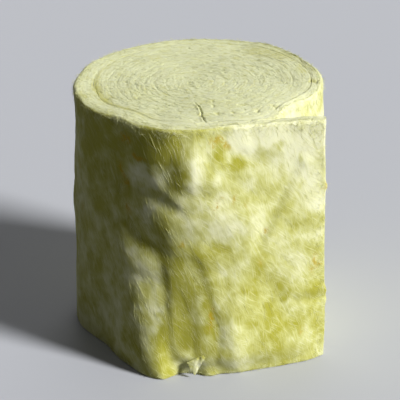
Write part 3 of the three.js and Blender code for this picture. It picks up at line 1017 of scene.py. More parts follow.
    def inner_points(self, stations: Index) -> Array:
        """The inner face, from its top edge down, at some of the stations."""
        run = self.runs[stations][:, None]
        top = self.form.width - self.inside_round
        z = top + (self.inside_round - top) * np.linspace(0.0, 1.0, self.rows + 1)
        outer, inner, outward = self.form.faces(run, z)
        places = raised(self.drawn_in(inner, outer, self.cut_inset()[stations][:, None]), z)
        rough = self.lump * self.wall.noise.pillowed(places + 8.0, self.lump_size, 3, 0.5)
        rough = rough + self.grain * self.wall.noise.layered(places + 2.0, self.grain_size, 2)
        places[..., :2] -= (rough * smoothstep(run, *self.bare_runs))[..., None] * outward
        places[:, -1, 2] = 0.0
        return places

    def cap_points(self, outer: Array, inner: Array, band: Array, forward: Array, rough: float) -> Array:
        """The points across one end of the strip, between its outer and inner faces.

        Args:
            outer: the outer face's last column of points, from the foot up.
            inner: the inner face's, from the foot up.
            band: shares of the way from outer to inner.
            forward: the unit direction out of the cut.
            rough: how far its tufts stand out.

        Returns:
            Points with a row for each height and a column for each share.
        """
        across = outer[:, None] + band[None, :, None] * (inner - outer)[:, None]
        lumps = rough * self.wall.noise.layered(across + 4.0, self.cap_lump_size, 3, 0.6)
        bulge = np.sin(math.pi * band) * (self.cap_bulge + lumps)
        return across + bulge[..., None] * forward

    def build(self) -> tuple[bpy.types.Object, Surface]:
        """Builds the strip.

        Returns:
            The piece, and its outer face and top band as a surface for fibres.
        """
        draft = MeshDraft()
        face = self.outer_points()
        band_shares = np.linspace(0.0, 1.0, self.band_rows + 1)[1:]
        band = self.band_points(band_shares)
        outer_block = np.concatenate([face, band], axis=1)
        deeper = np.linalg.norm(np.diff(outer_block[:, len(self.heights) - 1 :, :2], axis=1), axis=-1)
        heights = np.broadcast_to(self.heights, face.shape[:2])
        across = np.concatenate([heights, self.form.width + np.cumsum(deeper, axis=1)], axis=1)
        end = np.concatenate([smoothstep(np.sin(self.tilts), *self.felted), np.ones(self.band_rows)])
        outer = draft.add(outer_block, stacked(self.runs[:, None], across), end)
        draft.quads(outer)

        stations = np.unique(np.append(np.arange(0, len(self.runs), self.inner_every), len(self.runs) - 1))
        inner_block = self.inner_points(stations)
        down = self.form.width + self.inner_lay + np.linspace(0.0, self.form.width, inner_block.shape[1])
        inner = draft.add(inner_block, stacked(self.runs[stations][:, None], down), 0.0)
        draft.quads(inner)
        draft.zip_up(outer[:, -1], inner[:, 0], stations, coarse_after=True)

        last = len(self.runs) - 1
        facing = np.maximum(stations[:-1] - 1, 0)
        draft.zip_up(outer[1:last, 0], inner[:-1, -1], facing, coarse_after=False)
        shares = np.concatenate([[0.0], band_shares * self.cap_reach, [1.0]])
        self.close_end(draft, outer, inner, 0, shares, self.cap_rough)
        self.close_end(draft, outer, inner, last, shares, 0.0)
        return draft.build(self.name, self.colouring), Surface.of(outer_block)

    def close_end(
        self, draft: MeshDraft, outer: Index, inner: Index, station: int, shares: Array, rough: float
    ) -> None:
        """Closes one end of the strip with a grid across its thickness, and a fan along its foot.

        Args:
            draft: the mesh to add to.
            outer: the numbers of the outer face's and top band's points.
            inner: the numbers of the inner face's points, from the top down.
            station: which station the end is at; at the far end, faces turn the other way.
            shares: shares of the thickness from outer to inner, first 0 and last 1.
            rough: how far its tufts stand out.
        """
        flip = station > 0
        points = np.concatenate(draft.points)
        face_rows = len(self.heights)
        outer_ids = outer[station, :face_rows]
        inner_ids = inner[-1 if flip else 0, ::-1]
        band_ids = outer[station, face_rows:]
        out, into = points[outer_ids], points[inner_ids]
        neighbour = points[outer[station - 1 if flip else station + 1, :face_rows]]
        forward = (out - neighbour)[face_rows // 2]
        forward = unit(np.array([forward[0], forward[1], 0.0]))
        middle = self.cap_points(out[:-1], into[:-1], shares[1:-1], forward, rough)
        lay_runs = self.runs[station] + self.cap_lay * shares[1:-1]
        middle_ids = draft.add(middle, stacked(lay_runs, self.heights[:-1, None]), self.cap_felt)
        middle_ids = np.concatenate([middle_ids, band_ids[None, :]], axis=0)
        cap = np.concatenate([outer_ids[:, None], middle_ids, inner_ids[:, None]], axis=1)
        draft.quads(cap[:, ::-1] if flip else cap)
        low = cap[0] if flip else cap[0, ::-1]
        if flip:
            draft.triangles(inner[-2, -1], low[:-1], low[1:])
            draft.triangles(inner[-2, -1], outer[station - 1, 0], low[0])
        else:
            draft.triangles(low[:-1], low[1:], outer[station + 1, 0])


@dataclass
class InnerTurns:
    """All the turns inside the outermost one: a closed body whose ends show the winding."""

    form: RollForm = RollForm()
    ends: EndRelief = EndRelief()
    colouring: Colouring = Colouring()
    name: str = "inner_turns"
    gap: float = 0.0001
    top_gap: float = 0.0001  # the seam gapes this much more at the top end, where the turn is slack
    gape_spread: float = 55.0
    gape_heights: Pair = (0.54, 0.60)
    edge_round: float = 0.0007
    around: int = 640  # points round the rim; the number halves twice towards the core
    top_rings: tuple[int, int, int] = (88, 44, 44)
    foot_around: int = 160
    foot_rings: tuple[int, int, int] = (26, 12, 12)
    halving_at: Pair = (0.5, 0.25)  # shares of the rim's radius
    core: float = 0.008  # the innermost ring's share
    wall_heights: tuple[float, ...] = (0.02, 0.15, 0.30, 0.45, 0.54, 0.565, 0.58)
    wall_lay: float = -0.005  # run for each degree, for the hidden wall's colours
    fill: float = 0.5

    @staticmethod
    def bearings(count: int) -> Array:
        """The bearings of the points round a ring, clockwise from 0."""
        return np.arange(count) * -360.0 / count % 360.0

    def ring(self, bearing: Array, share: Array, inset: Array | float, z: Array, lifted: bool) -> Array:
        """Points of a block of rings: the outline drawn in by an inset, then scaled towards the axis.

        Args:
            bearing: bearings, one for each point round a ring.
            share: each ring's share of the outline.
            inset: how far each ring is first drawn in.
            z: each ring's height.
            lifted: whether the top end's relief applies.

        Returns:
            Points with a row for each bearing and a column for each ring.
        """
        heights, inverse = np.unique(z, return_inverse=True)
        outline = self.form.inner_outline(bearing, heights)[:, inverse]
        slack = self.form.bell(bearing, self.form.slack_bearing, self.gape_spread)
        gape = slack[:, None] * smoothstep(z, *self.gape_heights)
        radius = (outline - self.gap - self.top_gap * gape - inset) * share
        plan = polar(np.broadcast_to(bearing[:, None], radius.shape), radius)
        return raised(plan, z + self.ends.at(plan) if lifted else z)

    def disc(self, draft: MeshDraft, rim: int, rings: Sequence[int], z: float, lifted: bool) -> list[Index]:
        """Adds an end's rings, from its rim inwards, in three blocks with ever fewer points round.

        Args:
            draft: the mesh to add to.
            rim: how many points lie round the rim.
            rings: how many rings each block has.
            z: the end's height.
            lifted: whether the top end's relief applies.

        Returns:
            Each block's point numbers, with a row for each bearing and a column for each ring.
        """
        limits = (1.0, *self.halving_at, self.core)
        blocks: list[Index] = []
        for k, count in enumerate(rings):
            share = np.linspace(limits[k], limits[k + 1], count + 1)[1:]
            heights = np.full(count, z)
            points = self.ring(self.bearings(rim >> k), share, self.edge_round, heights, lifted)
            blocks.append(draft.add(points, self.form.end_lay(points), 1.0))
        return blocks

    @staticmethod
    def zip_rings(draft: MeshDraft, fine: Index, coarse: Index, coarse_after: bool) -> None:
        """Joins two closed rings, of which one has a whole number of times as many points."""
        times = len(fine) // len(coarse)
        start = np.arange(len(coarse) + 1) * times
        draft.zip_up(np.append(fine, fine[0]), np.append(coarse, coarse[0]), start, coarse_after)

    def build(self) -> tuple[bpy.types.Object, list[Surface]]:
        """Builds the body: wall, top end and foot, joined ring by ring.

        Returns:
            The piece, and the top end's blocks as surfaces for fibres.
        """
        draft = MeshDraft()
        width = self.form.width
        quarter = np.linspace(0.0, 0.5 * math.pi, 5)
        inset, drop = (self.edge_round * (1.0 - wave(quarter)) for wave in (np.cos, np.sin))
        rim = self.ring(self.bearings(self.around), np.ones(5), inset, np.full(5, width), False)
        rim[..., 2] += self.ends.at(rim[..., :2]) * np.sin(quarter) - drop
        rim_ids = draft.add(rim, self.form.end_lay(rim), np.sin(quarter))
        draft.quads(rim_ids, around=True)

        top = self.disc(draft, self.around, self.top_rings, width, True)
        surfaces = [Surface.of(np.concatenate(draft.points)[block], around=True) for block in top]
        self.join(draft, [rim_ids, *top], outward=False)

        heights = np.array(self.wall_heights)
        bearing = self.bearings(self.around // 4)
        wall = self.ring(bearing, np.ones(len(heights)), 0.0, heights, False)
        wall_ids = draft.add(wall, stacked(bearing[:, None] * self.wall_lay, wall[..., 2]), 0.0)
        draft.quads(wall_ids, around=True)
        self.zip_rings(draft, rim_ids[:, 0], wall_ids[:, -1], coarse_after=False)

        foot = self.disc(draft, self.foot_around, self.foot_rings, 0.0, False)
        self.join(draft, [wall_ids[:, ::-1], *foot], outward=True)
        return draft.build(self.name, self.colouring), surfaces

    def join(self, draft: MeshDraft, blocks: list[Index], outward: bool) -> None:
        """Fills a chain of ring blocks in to its middle point.

        Args:
            draft: the mesh to add to.
            blocks: point numbers, of which the first block has its own faces already.
            outward: whether the chain runs down and under, so that its faces turn the other way.
        """
        turn = slice(None, None, -1) if outward else slice(None)
        for block in blocks[1:]:
            draft.quads(block[turn], around=True)
        for before, after in zip(blocks[:-1], blocks[1:]):
            fine, coarse = before[turn][:, -1], after[turn][:, 0]
            if outward:
                fine, coarse = np.roll(fine, 1), np.roll(coarse, 1)
            if len(fine) == len(coarse):
                draft.quads(stacked(fine, coarse), around=True)
            else:
                self.zip_rings(draft, fine, coarse, coarse_after=True)
        last = blocks[-1][turn][:, -1]
        points = np.concatenate(draft.points)[last]
        middle = draft.add(points.mean(axis=0)[None, :], self.form.end_lay(points[:1]), 1.0)
        draft.triangles(last, middle, np.roll(last, -1))


@dataclass
class FootTuft:
    """A torn tuft that hangs over the notch in the foot and narrows to a ragged tip."""

    noise: SmoothNoise = SmoothNoise(53)
    colouring: Colouring = Colouring()
    name: str = "foot_tuft"
    root: Triple = (-0.004, -0.306, 0.050)
    tip: Triple = (-0.008, -0.313, 0.008)
    slant: float = 0.010  # how much higher its right corner hangs than its middle
    half_width: float = 0.023
    half_thickness: float = 0.0020
    run: float = 0.004  # of its middle
    down_to: float = 0.985  # share of its length at its last ring
    taper: float = 0.9
    drop: float = 0.05  # how fast its fringe and folds change on the way down
    fringe: float = 0.16
    fringe_size: float = 0.014
    fold: float = 0.0022
    fold_size: float = 0.016
    around: int = 48
    rings: int = 36

    def build(self) -> bpy.types.Object:
        """Builds the tuft: flattened rings from the root to the tip, roughened by noise and closed.

        The half width falls as the taper's power of what is left of the way down, and the thickness as
        its square root; folds come from noise drawn out down the tuft.
        """
        share = np.linspace(0.0, self.down_to, self.rings)
        angle = (np.arange(self.around) * 2.0 * math.pi / self.around)[:, None]
        root, tip = np.array(self.root), np.array(self.tip)
        middle = root + share[..., None] * (tip - root)
        width = self.half_width * (1.0 - share) ** self.taper
        flat = stacked(np.cos(angle) * width, 0.0, self.root[2] - self.drop * share)
        ragged = self.noise.layered(flat * np.array([0.3, 1.0, 2.0]), self.fringe_size, 3, 0.6)
        drawn = self.noise.layered(flat * np.array([1.6, 1.0, 0.5]) + 2.0, self.fold_size, 2, 0.5)
        fringe, folds = 1.0 + self.fringe * ragged, self.fold * drawn
        thick = self.half_thickness * np.sqrt(1.0 - share)
        x = middle[..., 0] + width * fringe * np.cos(angle)
        y = middle[..., 1] + thick * np.sin(angle) + folds
        z = middle[..., 2] + self.slant * np.cos(angle) * (1.0 - share)
        points = stacked(x, y, z)
        draft = MeshDraft()
        rings = draft.add(points, stacked(self.run + points[..., 0], points[..., 2]), 0.0)
        draft.quads(rings, around=True)
        for column, turn in ((0, 1), (-1, -1)):
            centre = points[:, column].mean(axis=0)[None, :]
            hub = draft.add(centre, np.array([[self.run + centre[0, 0], centre[0, 2]]]), 0.0)
            ahead = np.roll(rings[:, column], -1)
            first, second = (rings[:, column], ahead)[::turn]
            draft.triangles(hub, first, second)
        return draft.build(self.name, self.colouring)


@dataclass(frozen=True)
class FibreKind:
    """How one kind of loose fibre looks and lies."""

    length: Pair
    half_width: Pair
    lift: float  # how high its middle stands off the wool
    free_end: float  # how far its loose end stands off
    wander: float  # radians that its heading turns along its length
    steps: int = 6


class FibreMat:
    """Loose fibres that lie on the wool: thin closed prisms, each along its own wandering line."""

    sides: int = 3
    flatness: float = 0.6  # a fibre's height over its width
    sunk: float = 0.0004  # how deep its start lies in the wool
    floor_gap: float = 0.0008

    def __init__(self, name: str, colouring: Colouring, seed: int) -> None:
        """Starts an empty mat.

        Args:
            name: the piece's name.
            colouring: what gives each point its shades.
            seed: the seed of the fibres' places.
        """
        self.name = name
        self.colouring = colouring
        self.rng = np.random.default_rng(seed)
        self.draft = MeshDraft()

    def lay_fibres(
        self, surface: Surface, kind: FibreKind, row: Array, column: Array, heading: Array,
        cell: tuple[Array, Array], end: float,
    ) -> None:
        """Lays fibres on a surface.

        Args:
            surface: what they lie on.
            kind: their kind.
            row: where each starts, in the surface's rows.
            column: the same, in its columns.
            heading: the direction of each: 0 runs along the rows, a right angle along the columns.
            cell: the size of the surface's cell at each start, along the rows and the columns.
            end: 1 on the roll's ends, 0 on its side wall.
        """
        count = len(row)
        steps = np.linspace(0.0, 1.0, kind.steps + 1)
        length = self.rng.uniform(*kind.length, count)[:, None]
        turn = kind.wander * self.rng.normal(size=(count, 1))
        waver = np.sin(6.0 * steps + self.rng.uniform(0.0, 6.28, (count, 1)))
        course = heading[:, None] + turn * (steps - 0.5) + 0.3 * kind.wander * waver
        step = length / kind.steps
        rows = row[:, None] + np.cumsum(np.cos(course) * step, axis=1) / cell[0][:, None]
        columns = column[:, None] + np.cumsum(np.sin(course) * step, axis=1) / cell[1][:, None]
        points, normals = surface.at(rows, columns)
        stand = kind.lift * self.rng.uniform(0.1, 1.0, (count, 1)) * np.sin(math.pi * steps)
        loose = kind.free_end * self.rng.uniform(0.0, 1.0, (count, 1)) ** 3 * steps**2
        line = points + (stand + loose - self.sunk)[..., None] * normals
        line[..., 2] = np.maximum(line[..., 2], self.floor_gap)
        self.sweep(line, normals, self.rng.uniform(*kind.half_width, count), end)

    def sweep(self, line: Array, normals: Array, half_width: Array, end: float) -> None:
        """Makes a prism along each line: a flattened triangle that narrows to a point at both ends.

        Args:
            line: each fibre's points, with x, y and z along the last axis.
            normals: the wool's normals there.
            half_width: each fibre's half width.
            end: 1 on the roll's ends, 0 on its side wall.
        """
        along = unit(np.gradient(line, axis=1))
        side = unit(np.cross(along, normals))
        up = np.cross(side, along)
        middle = line[:, 1:-1]
        angles = np.arange(self.sides) * 2.0 * math.pi / self.sides + 0.5 * math.pi
        shape = half_width[:, None, None, None]
        ring = (
            middle[:, :, None, :]
            + shape * np.cos(angles)[:, None] * side[:, 1:-1, None, :]
            + self.flatness * shape * np.sin(angles)[:, None] * up[:, 1:-1, None, :]
        )
        lay = np.zeros(2)
        rings = self.draft.add(ring, lay, end)
        first = self.draft.add(line[:, 0], lay, end)
        last = self.draft.add(line[:, -1], lay, end)
        ahead = np.roll(rings, -1, axis=2)
        self.draft.between(rings, ahead)
        self.draft.triangles(first[:, None], rings[:, 0], ahead[:, 0])
        self.draft.triangles(last[:, None], ahead[:, -1], rings[:, -1])

    def build(self) -> bpy.types.Object:
        """Makes the piece."""
        return self.draft.build(self.name, self.colouring)


class Nodes:
    """The node tree of a material or a world, built up step by step."""

    def __init__(self, owner: bpy.types.Material | bpy.types.World) -> None:
        """Takes over its tree and empties it."""
        owner.use_nodes = True
        self.tree = owner.node_tree
        self.tree.nodes.clear()

    def add(self, kind: str, inputs: Inputs | None = None, **settings: object) -> bpy.types.Node:
        """Adds a node.

        Args:
            kind: its type's name, without the ShaderNode prefix.
            inputs: values or output sockets, by input name or number.
            settings: the node's own properties.

        Returns:
            The node.
        """
        node = self.tree.nodes.new("ShaderNode" + kind)
        for key, value in settings.items():
            setattr(node, key, value)
        for key, value in (inputs or {}).items():
            if isinstance(value, Socket):
                self.tree.links.new(value, node.inputs[key])
            else:
                node.inputs[key].default_value = value
        return node

    def math(
        self, operation: str, a: object, b: object = 0.0, clamp: bool = False, extra: object = 0.0
    ) -> Socket:
        """The result of a Math node on a, b and, where it takes three, extra."""
        return self.add("Math", {0: a, 1: b, 2: extra}, operation=operation, use_clamp=clamp).outputs[0]

    def times(self, a: object, b: object, clamp: bool = False) -> Socket:
        """The product of two values, which may be clamped to 0..1."""
        return self.math("MULTIPLY", a, b, clamp)

    def plus(self, a: object, b: object) -> Socket:
        """The sum of two values."""
        return self.math("ADD", a, b)

    def remap(self, value: Socket, low: float, high: float) -> Socket:
        """A value smoothly remapped from low..high to 0..1, and clamped to it."""
        inputs = {"Value": value, "From Min": low, "From Max": high, "To Min": 0.0, "To Max": 1.0}
        return self.add("MapRange", inputs, interpolation_type="SMOOTHSTEP").outputs["Result"]

    def noise(self, place: Socket, scale: float, detail: float, rough: float, bend: float = 0.0) -> Socket:
        """A Noise Texture's value."""
        inputs = {"Vector": place, "Scale": scale, "Detail": detail, "Roughness": rough, "Distortion": bend}
        return self.add("TexNoise", inputs).outputs["Fac"]

    def blend(self, share: object, a: object, b: object) -> Socket:
        """A mix of two colours."""
        return self.add("Mix", {0: share, 6: a, 7: b}, data_type="RGBA").outputs[2]

    def attribute(self, name: str) -> Socket:
        """The value of a mesh attribute."""
        return self.add("Attribute", attribute_name=name).outputs["Fac"]

    def vector(self, operation: str, a: Socket, inputs: Inputs) -> Socket:
        """The result of a Vector Math node on a and other inputs."""
        return self.add("VectorMath", {0: a, **inputs}, operation=operation).outputs[0]

    def seen(self) -> Socket:
        """1 on rays that are seen, directly or by mirror or glass, and 0 on those that only light."""
        path = self.add("LightPath").outputs
        shown = self.math("MAXIMUM", path["Is Camera Ray"], path["Is Glossy Ray"])
        return self.math("MAXIMUM", shown, path["Is Transmission Ray"])


def srgb(red: int, green: int, blue: int) -> RGBA:
    """A colour given as it looks on screen, as linear light."""
    linear = [((c / 255.0 + 0.055) / 1.055) ** 2.4 if c > 10 else c / 3294.6 for c in (red, green, blue)]
    return (*linear, 1.0)


@dataclass(frozen=True)
class WoolFinish:
    """Unfaced glass wool: cloudy yellow-green, with paler drawn-out fibres and amber specks of binder."""

    name: str = "glass_wool"
    # pale is also the painted highlight of the pale patches, and olive the painted shade of the olive ones
    pale_and_painted_light: RGBA = srgb(250, 250, 206)
    yellow: RGBA = srgb(209, 209, 130)
    olive_and_painted_shade: RGBA = srgb(176, 173, 58)
    amber: RGBA = srgb(190, 162, 20)
    felt: RGBA = srgb(214, 217, 172)
    felt_shade: RGBA = srgb(197, 196, 126)
    fibre: RGBA = srgb(250, 250, 206)
    shadow: RGBA = srgb(188, 184, 104)  # between the strands
    clouds: tuple[Quad, ...] = (  # scale, detail, roughness and bend
        (8.0, 2.0, 0.5, 0.0),
        (19.0, 2.0, 0.45, 0.5),
        (42.0, 1.0, 0.5, 0.3),
    )
    cloud_weights: Triple = (0.30, 0.38, 0.20)
    base_tone: float = 0.06
    pale_push: float = 0.17  # how much a pale patch adds to the clouds, painted highlight included, and an olive one takes off, painted shade included
    olive_push: float = 0.12
    to_yellow: Pair = (0.32, 0.50)  # the tones between which olive turns to yellow
    to_pale: Pair = (0.44, 0.68)
    combing: tuple[Triple, ...] = (  # degrees, and a strand's length and width
        (-62.0, 0.060, 0.0052),
        (-38.0, 0.045, 0.0030),
        (-80.0, 0.050, 0.0022),
    )
    bend: float = 0.035  # how far the combing wanders, and the scale of that
    bend_scale: float = 9.0
    strand_from: float = 0.56  # the noise's values between which a strand shows
    strand_to: float = 0.78
    strand_tone: float = 0.25
    strand_share: float = 0.22
    gap: Pair = (0.44, 0.26)  # the values between which the wool is shaded, downwards
    gap_share: float = 0.22
    speck: Quad = (110.0, 3.0, 0.6, 0.6)
    speck_values: Pair = (0.36, 0.54)
    speck_share: float = 0.85
    layer_scale: Triple = (20.0, 260.0, 1.0)  # of the end's fine layers
    layer: Quad = (1.0, 4.0, 0.65, 0.2)
    layer_share: float = 0.55
    grain: Triple = (60.0, 4.0, 0.65)
    grain_share: float = 0.45
    felt_tones: Pair = (0.34, 0.54)
    felt_olive: float = 0.5
    felt_pale: float = 0.9
    fine: Triple = (380.0, 3.0, 0.6)
    wall_fine: float = 0.35  # how high the fine bumps stand next to the strands, and on the ends
    end_fine: float = 0.7
    end_layers: float = 0.45
    bump: float = 0.4
    bump_height: float = 0.0016
    roughness: float = 0.92
    shine: float = 0.2
    softness: float = 0.3
    depth: float = 0.010
    depth_colour: Triple = (1.0, 0.95, 0.6)
    sheen: float = 0.1
    sheen_roughness: float = 0.6

    def tone(self, nodes: Nodes, place: Socket) -> Socket:
        """How pale the wool is: soft clouds of three sizes, pushed by the pale and olive patches and their
        painted light and shade.
        """
        first, *others = (nodes.noise(place, *cloud) for cloud in self.clouds)
        total = nodes.math("MULTIPLY_ADD", first, self.cloud_weights[0], extra=self.base_tone)
        for cloud, weight in zip(others, self.cloud_weights[1:]):
            total = nodes.plus(total, nodes.times(cloud, weight))
        total = nodes.plus(total, nodes.times(nodes.attribute("pale_and_painted_light"), self.pale_push))
        return nodes.math("SUBTRACT", total, nodes.times(nodes.attribute("olive_and_painted_shade"), self.olive_push))

    def cloudy(self, nodes: Nodes, tone: Socket) -> Socket:
        """The colour of a tone: olive, then yellow, then pale."""
        low = nodes.blend(nodes.remap(tone, *self.to_yellow), self.olive_and_painted_shade, self.yellow)
        return nodes.blend(nodes.remap(tone, *self.to_pale), low, self.pale_and_painted_light)

    def streaks(self, nodes: Nodes, place: Socket, lay: Socket) -> list[Socket]:
        """Noises drawn out along the directions of the combing, on the bent lay of the blanket."""
        bend = nodes.add("TexNoise", {"Vector": place, "Scale": self.bend_scale, "Detail": 2.0})
        bend = nodes.vector("SUBTRACT", bend.outputs["Color"], {1: (0.5, 0.5, 0.5)})
        bend = nodes.vector("SCALE", bend, {"Scale": self.bend})
        bent = nodes.vector("ADD", lay, {1: bend})
        streaks = []
        for turn, length, width in self.combing:
            turned = {"Rotation": (0.0, 0.0, math.radians(turn)), "Scale": (length, width, 1.0)}
            drawn = nodes.add("Mapping", {"Vector": bent, **turned}, vector_type="TEXTURE")
            streaks.append(nodes.noise(drawn.outputs[0], 1.0, 2.0, 0.5))
        return streaks

    def wall_colour(self, nodes: Nodes, place: Socket, streaks: list[Socket], fibre: Socket) -> Socket:
        """The side wall's colour.

        Args:
            nodes: the tree to add to.
            place: the place in space.
            streaks: the noises of the combing.
            fibre: the largest of them.

        Returns:
            The clouds' colour, with pale strands, shaded gaps between them and specks of binder.
        """
        strand = nodes.remap(fibre, self.strand_from, self.strand_to)
        gap = nodes.remap(nodes.math("MINIMUM", streaks[0], streaks[1]), *self.gap)
        raised_by = nodes.times(nodes.math("SUBTRACT", fibre, self.strand_from), self.strand_tone)
        wall = self.cloudy(nodes, nodes.plus(self.tone(nodes, place), raised_by))
        wall = nodes.blend(nodes.times(strand, self.strand_share), wall, self.fibre)
        wall = nodes.blend(nodes.times(gap, self.gap_share), wall, self.shadow)
        speck = nodes.remap(nodes.noise(place, *self.speck), *self.speck_values)
        amber = nodes.times(nodes.attribute("amber"), speck, clamp=True)
        return nodes.blend(nodes.times(amber, self.speck_share), wall, self.amber)

    def end_colour(self, nodes: Nodes, place: Socket, layers: Socket) -> Socket:
        """The felted ends' colour: layers and grain, then the olive and the pale patches."""
        grain = nodes.times(nodes.noise(place, *self.grain), self.grain_share)
        tone = nodes.plus(nodes.times(layers, self.layer_share), grain)
        olive_and_painted_shade = nodes.attribute("olive_and_painted_shade")
        tone = nodes.math("SUBTRACT", tone, nodes.times(olive_and_painted_shade, self.olive_push))
        felt = nodes.blend(nodes.remap(tone, *self.felt_tones), self.felt_shade, self.felt)
        felt = nodes.blend(nodes.times(olive_and_painted_shade, self.felt_olive), felt, self.olive_and_painted_shade)
        return nodes.blend(nodes.times(nodes.attribute("pale_and_painted_light"), self.felt_pale, clamp=True), felt, self.pale_and_painted_light)

    def material(self) -> bpy.types.Material:
        """Builds the finish.

        Clouds choose between olive, yellow and pale; fibres are noises, each drawn out along its own
        direction on the bent lay of the blanket; on the ends they run round the roll.

        Returns:
            The material.
        """
        material = bpy.data.materials.new(self.name)
        nodes = Nodes(material)
        place = nodes.add("TexCoord").outputs["Object"]
        lay = nodes.add("UVMap", uv_map=LAY_MAP).outputs["UV"]
        end = nodes.attribute("end")
        streaks = self.streaks(nodes, place, lay)
        fibre = nodes.math("MAXIMUM", nodes.math("MAXIMUM", streaks[0], streaks[1]), streaks[2])
        drawn = nodes.add("Mapping", {"Vector": lay, "Scale": self.layer_scale}).outputs[0]
        layers = nodes.noise(drawn, *self.layer)
        wall = self.wall_colour(nodes, place, streaks, fibre)
        colour = nodes.blend(end, wall, self.end_colour(nodes, place, layers))

        fine = nodes.noise(place, *self.fine)
        wall_height = nodes.plus(fibre, nodes.times(fine, self.wall_fine))
        end_height = nodes.plus(nodes.times(layers, self.end_layers), nodes.times(fine, self.end_fine))
        height = nodes.add("Mix", {0: end, 2: wall_height, 3: end_height}, data_type="FLOAT").outputs[0]
        bump = {"Strength": self.bump, "Distance": self.bump_height, "Height": height}
        inputs = {
            "Base Color": colour,
            "Roughness": self.roughness,
            "Normal": nodes.add("Bump", bump).outputs[0],
            "Specular IOR Level": self.shine,
            "Subsurface Weight": self.softness,
            "Subsurface Radius": self.depth_colour,
            "Subsurface Scale": self.depth,
            "Sheen Weight": self.sheen,
            "Sheen Roughness": self.sheen_roughness,
        }
        nodes.add("OutputMaterial", {"Surface": nodes.add("BsdfPrincipled", inputs).outputs[0]})
        return material


@dataclass(frozen=True)
class FibreFinish(WoolFinish):
    """A single glass fibre or a thin lock of them: the wool's own clouds, a little paler, and matt."""

    name: str = "loose_fibre"
    lighter: float = 0.25
    roughness: float = 0.7
    shine: float = 0.3

    def material(self) -> bpy.types.Material:
        """Builds the finish: the wool's clouds, mixed towards the pale of a bare fibre."""
        material = bpy.data.materials.new(self.name)
        nodes = Nodes(material)
        place = nodes.add("TexCoord").outputs["Object"]
        wall = self.cloudy(nodes, self.tone(nodes, place))
        colour = nodes.blend(nodes.attribute("end"), wall, self.felt)
        colour = nodes.blend(self.lighter, colour, self.fibre)
        inputs = {"Base Color": colour, "Roughness": self.roughness, "Specular IOR Level": self.shine}
        nodes.add("OutputMaterial", {"Surface": nodes.add("BsdfPrincipled", inputs).outputs[0]})
        return material


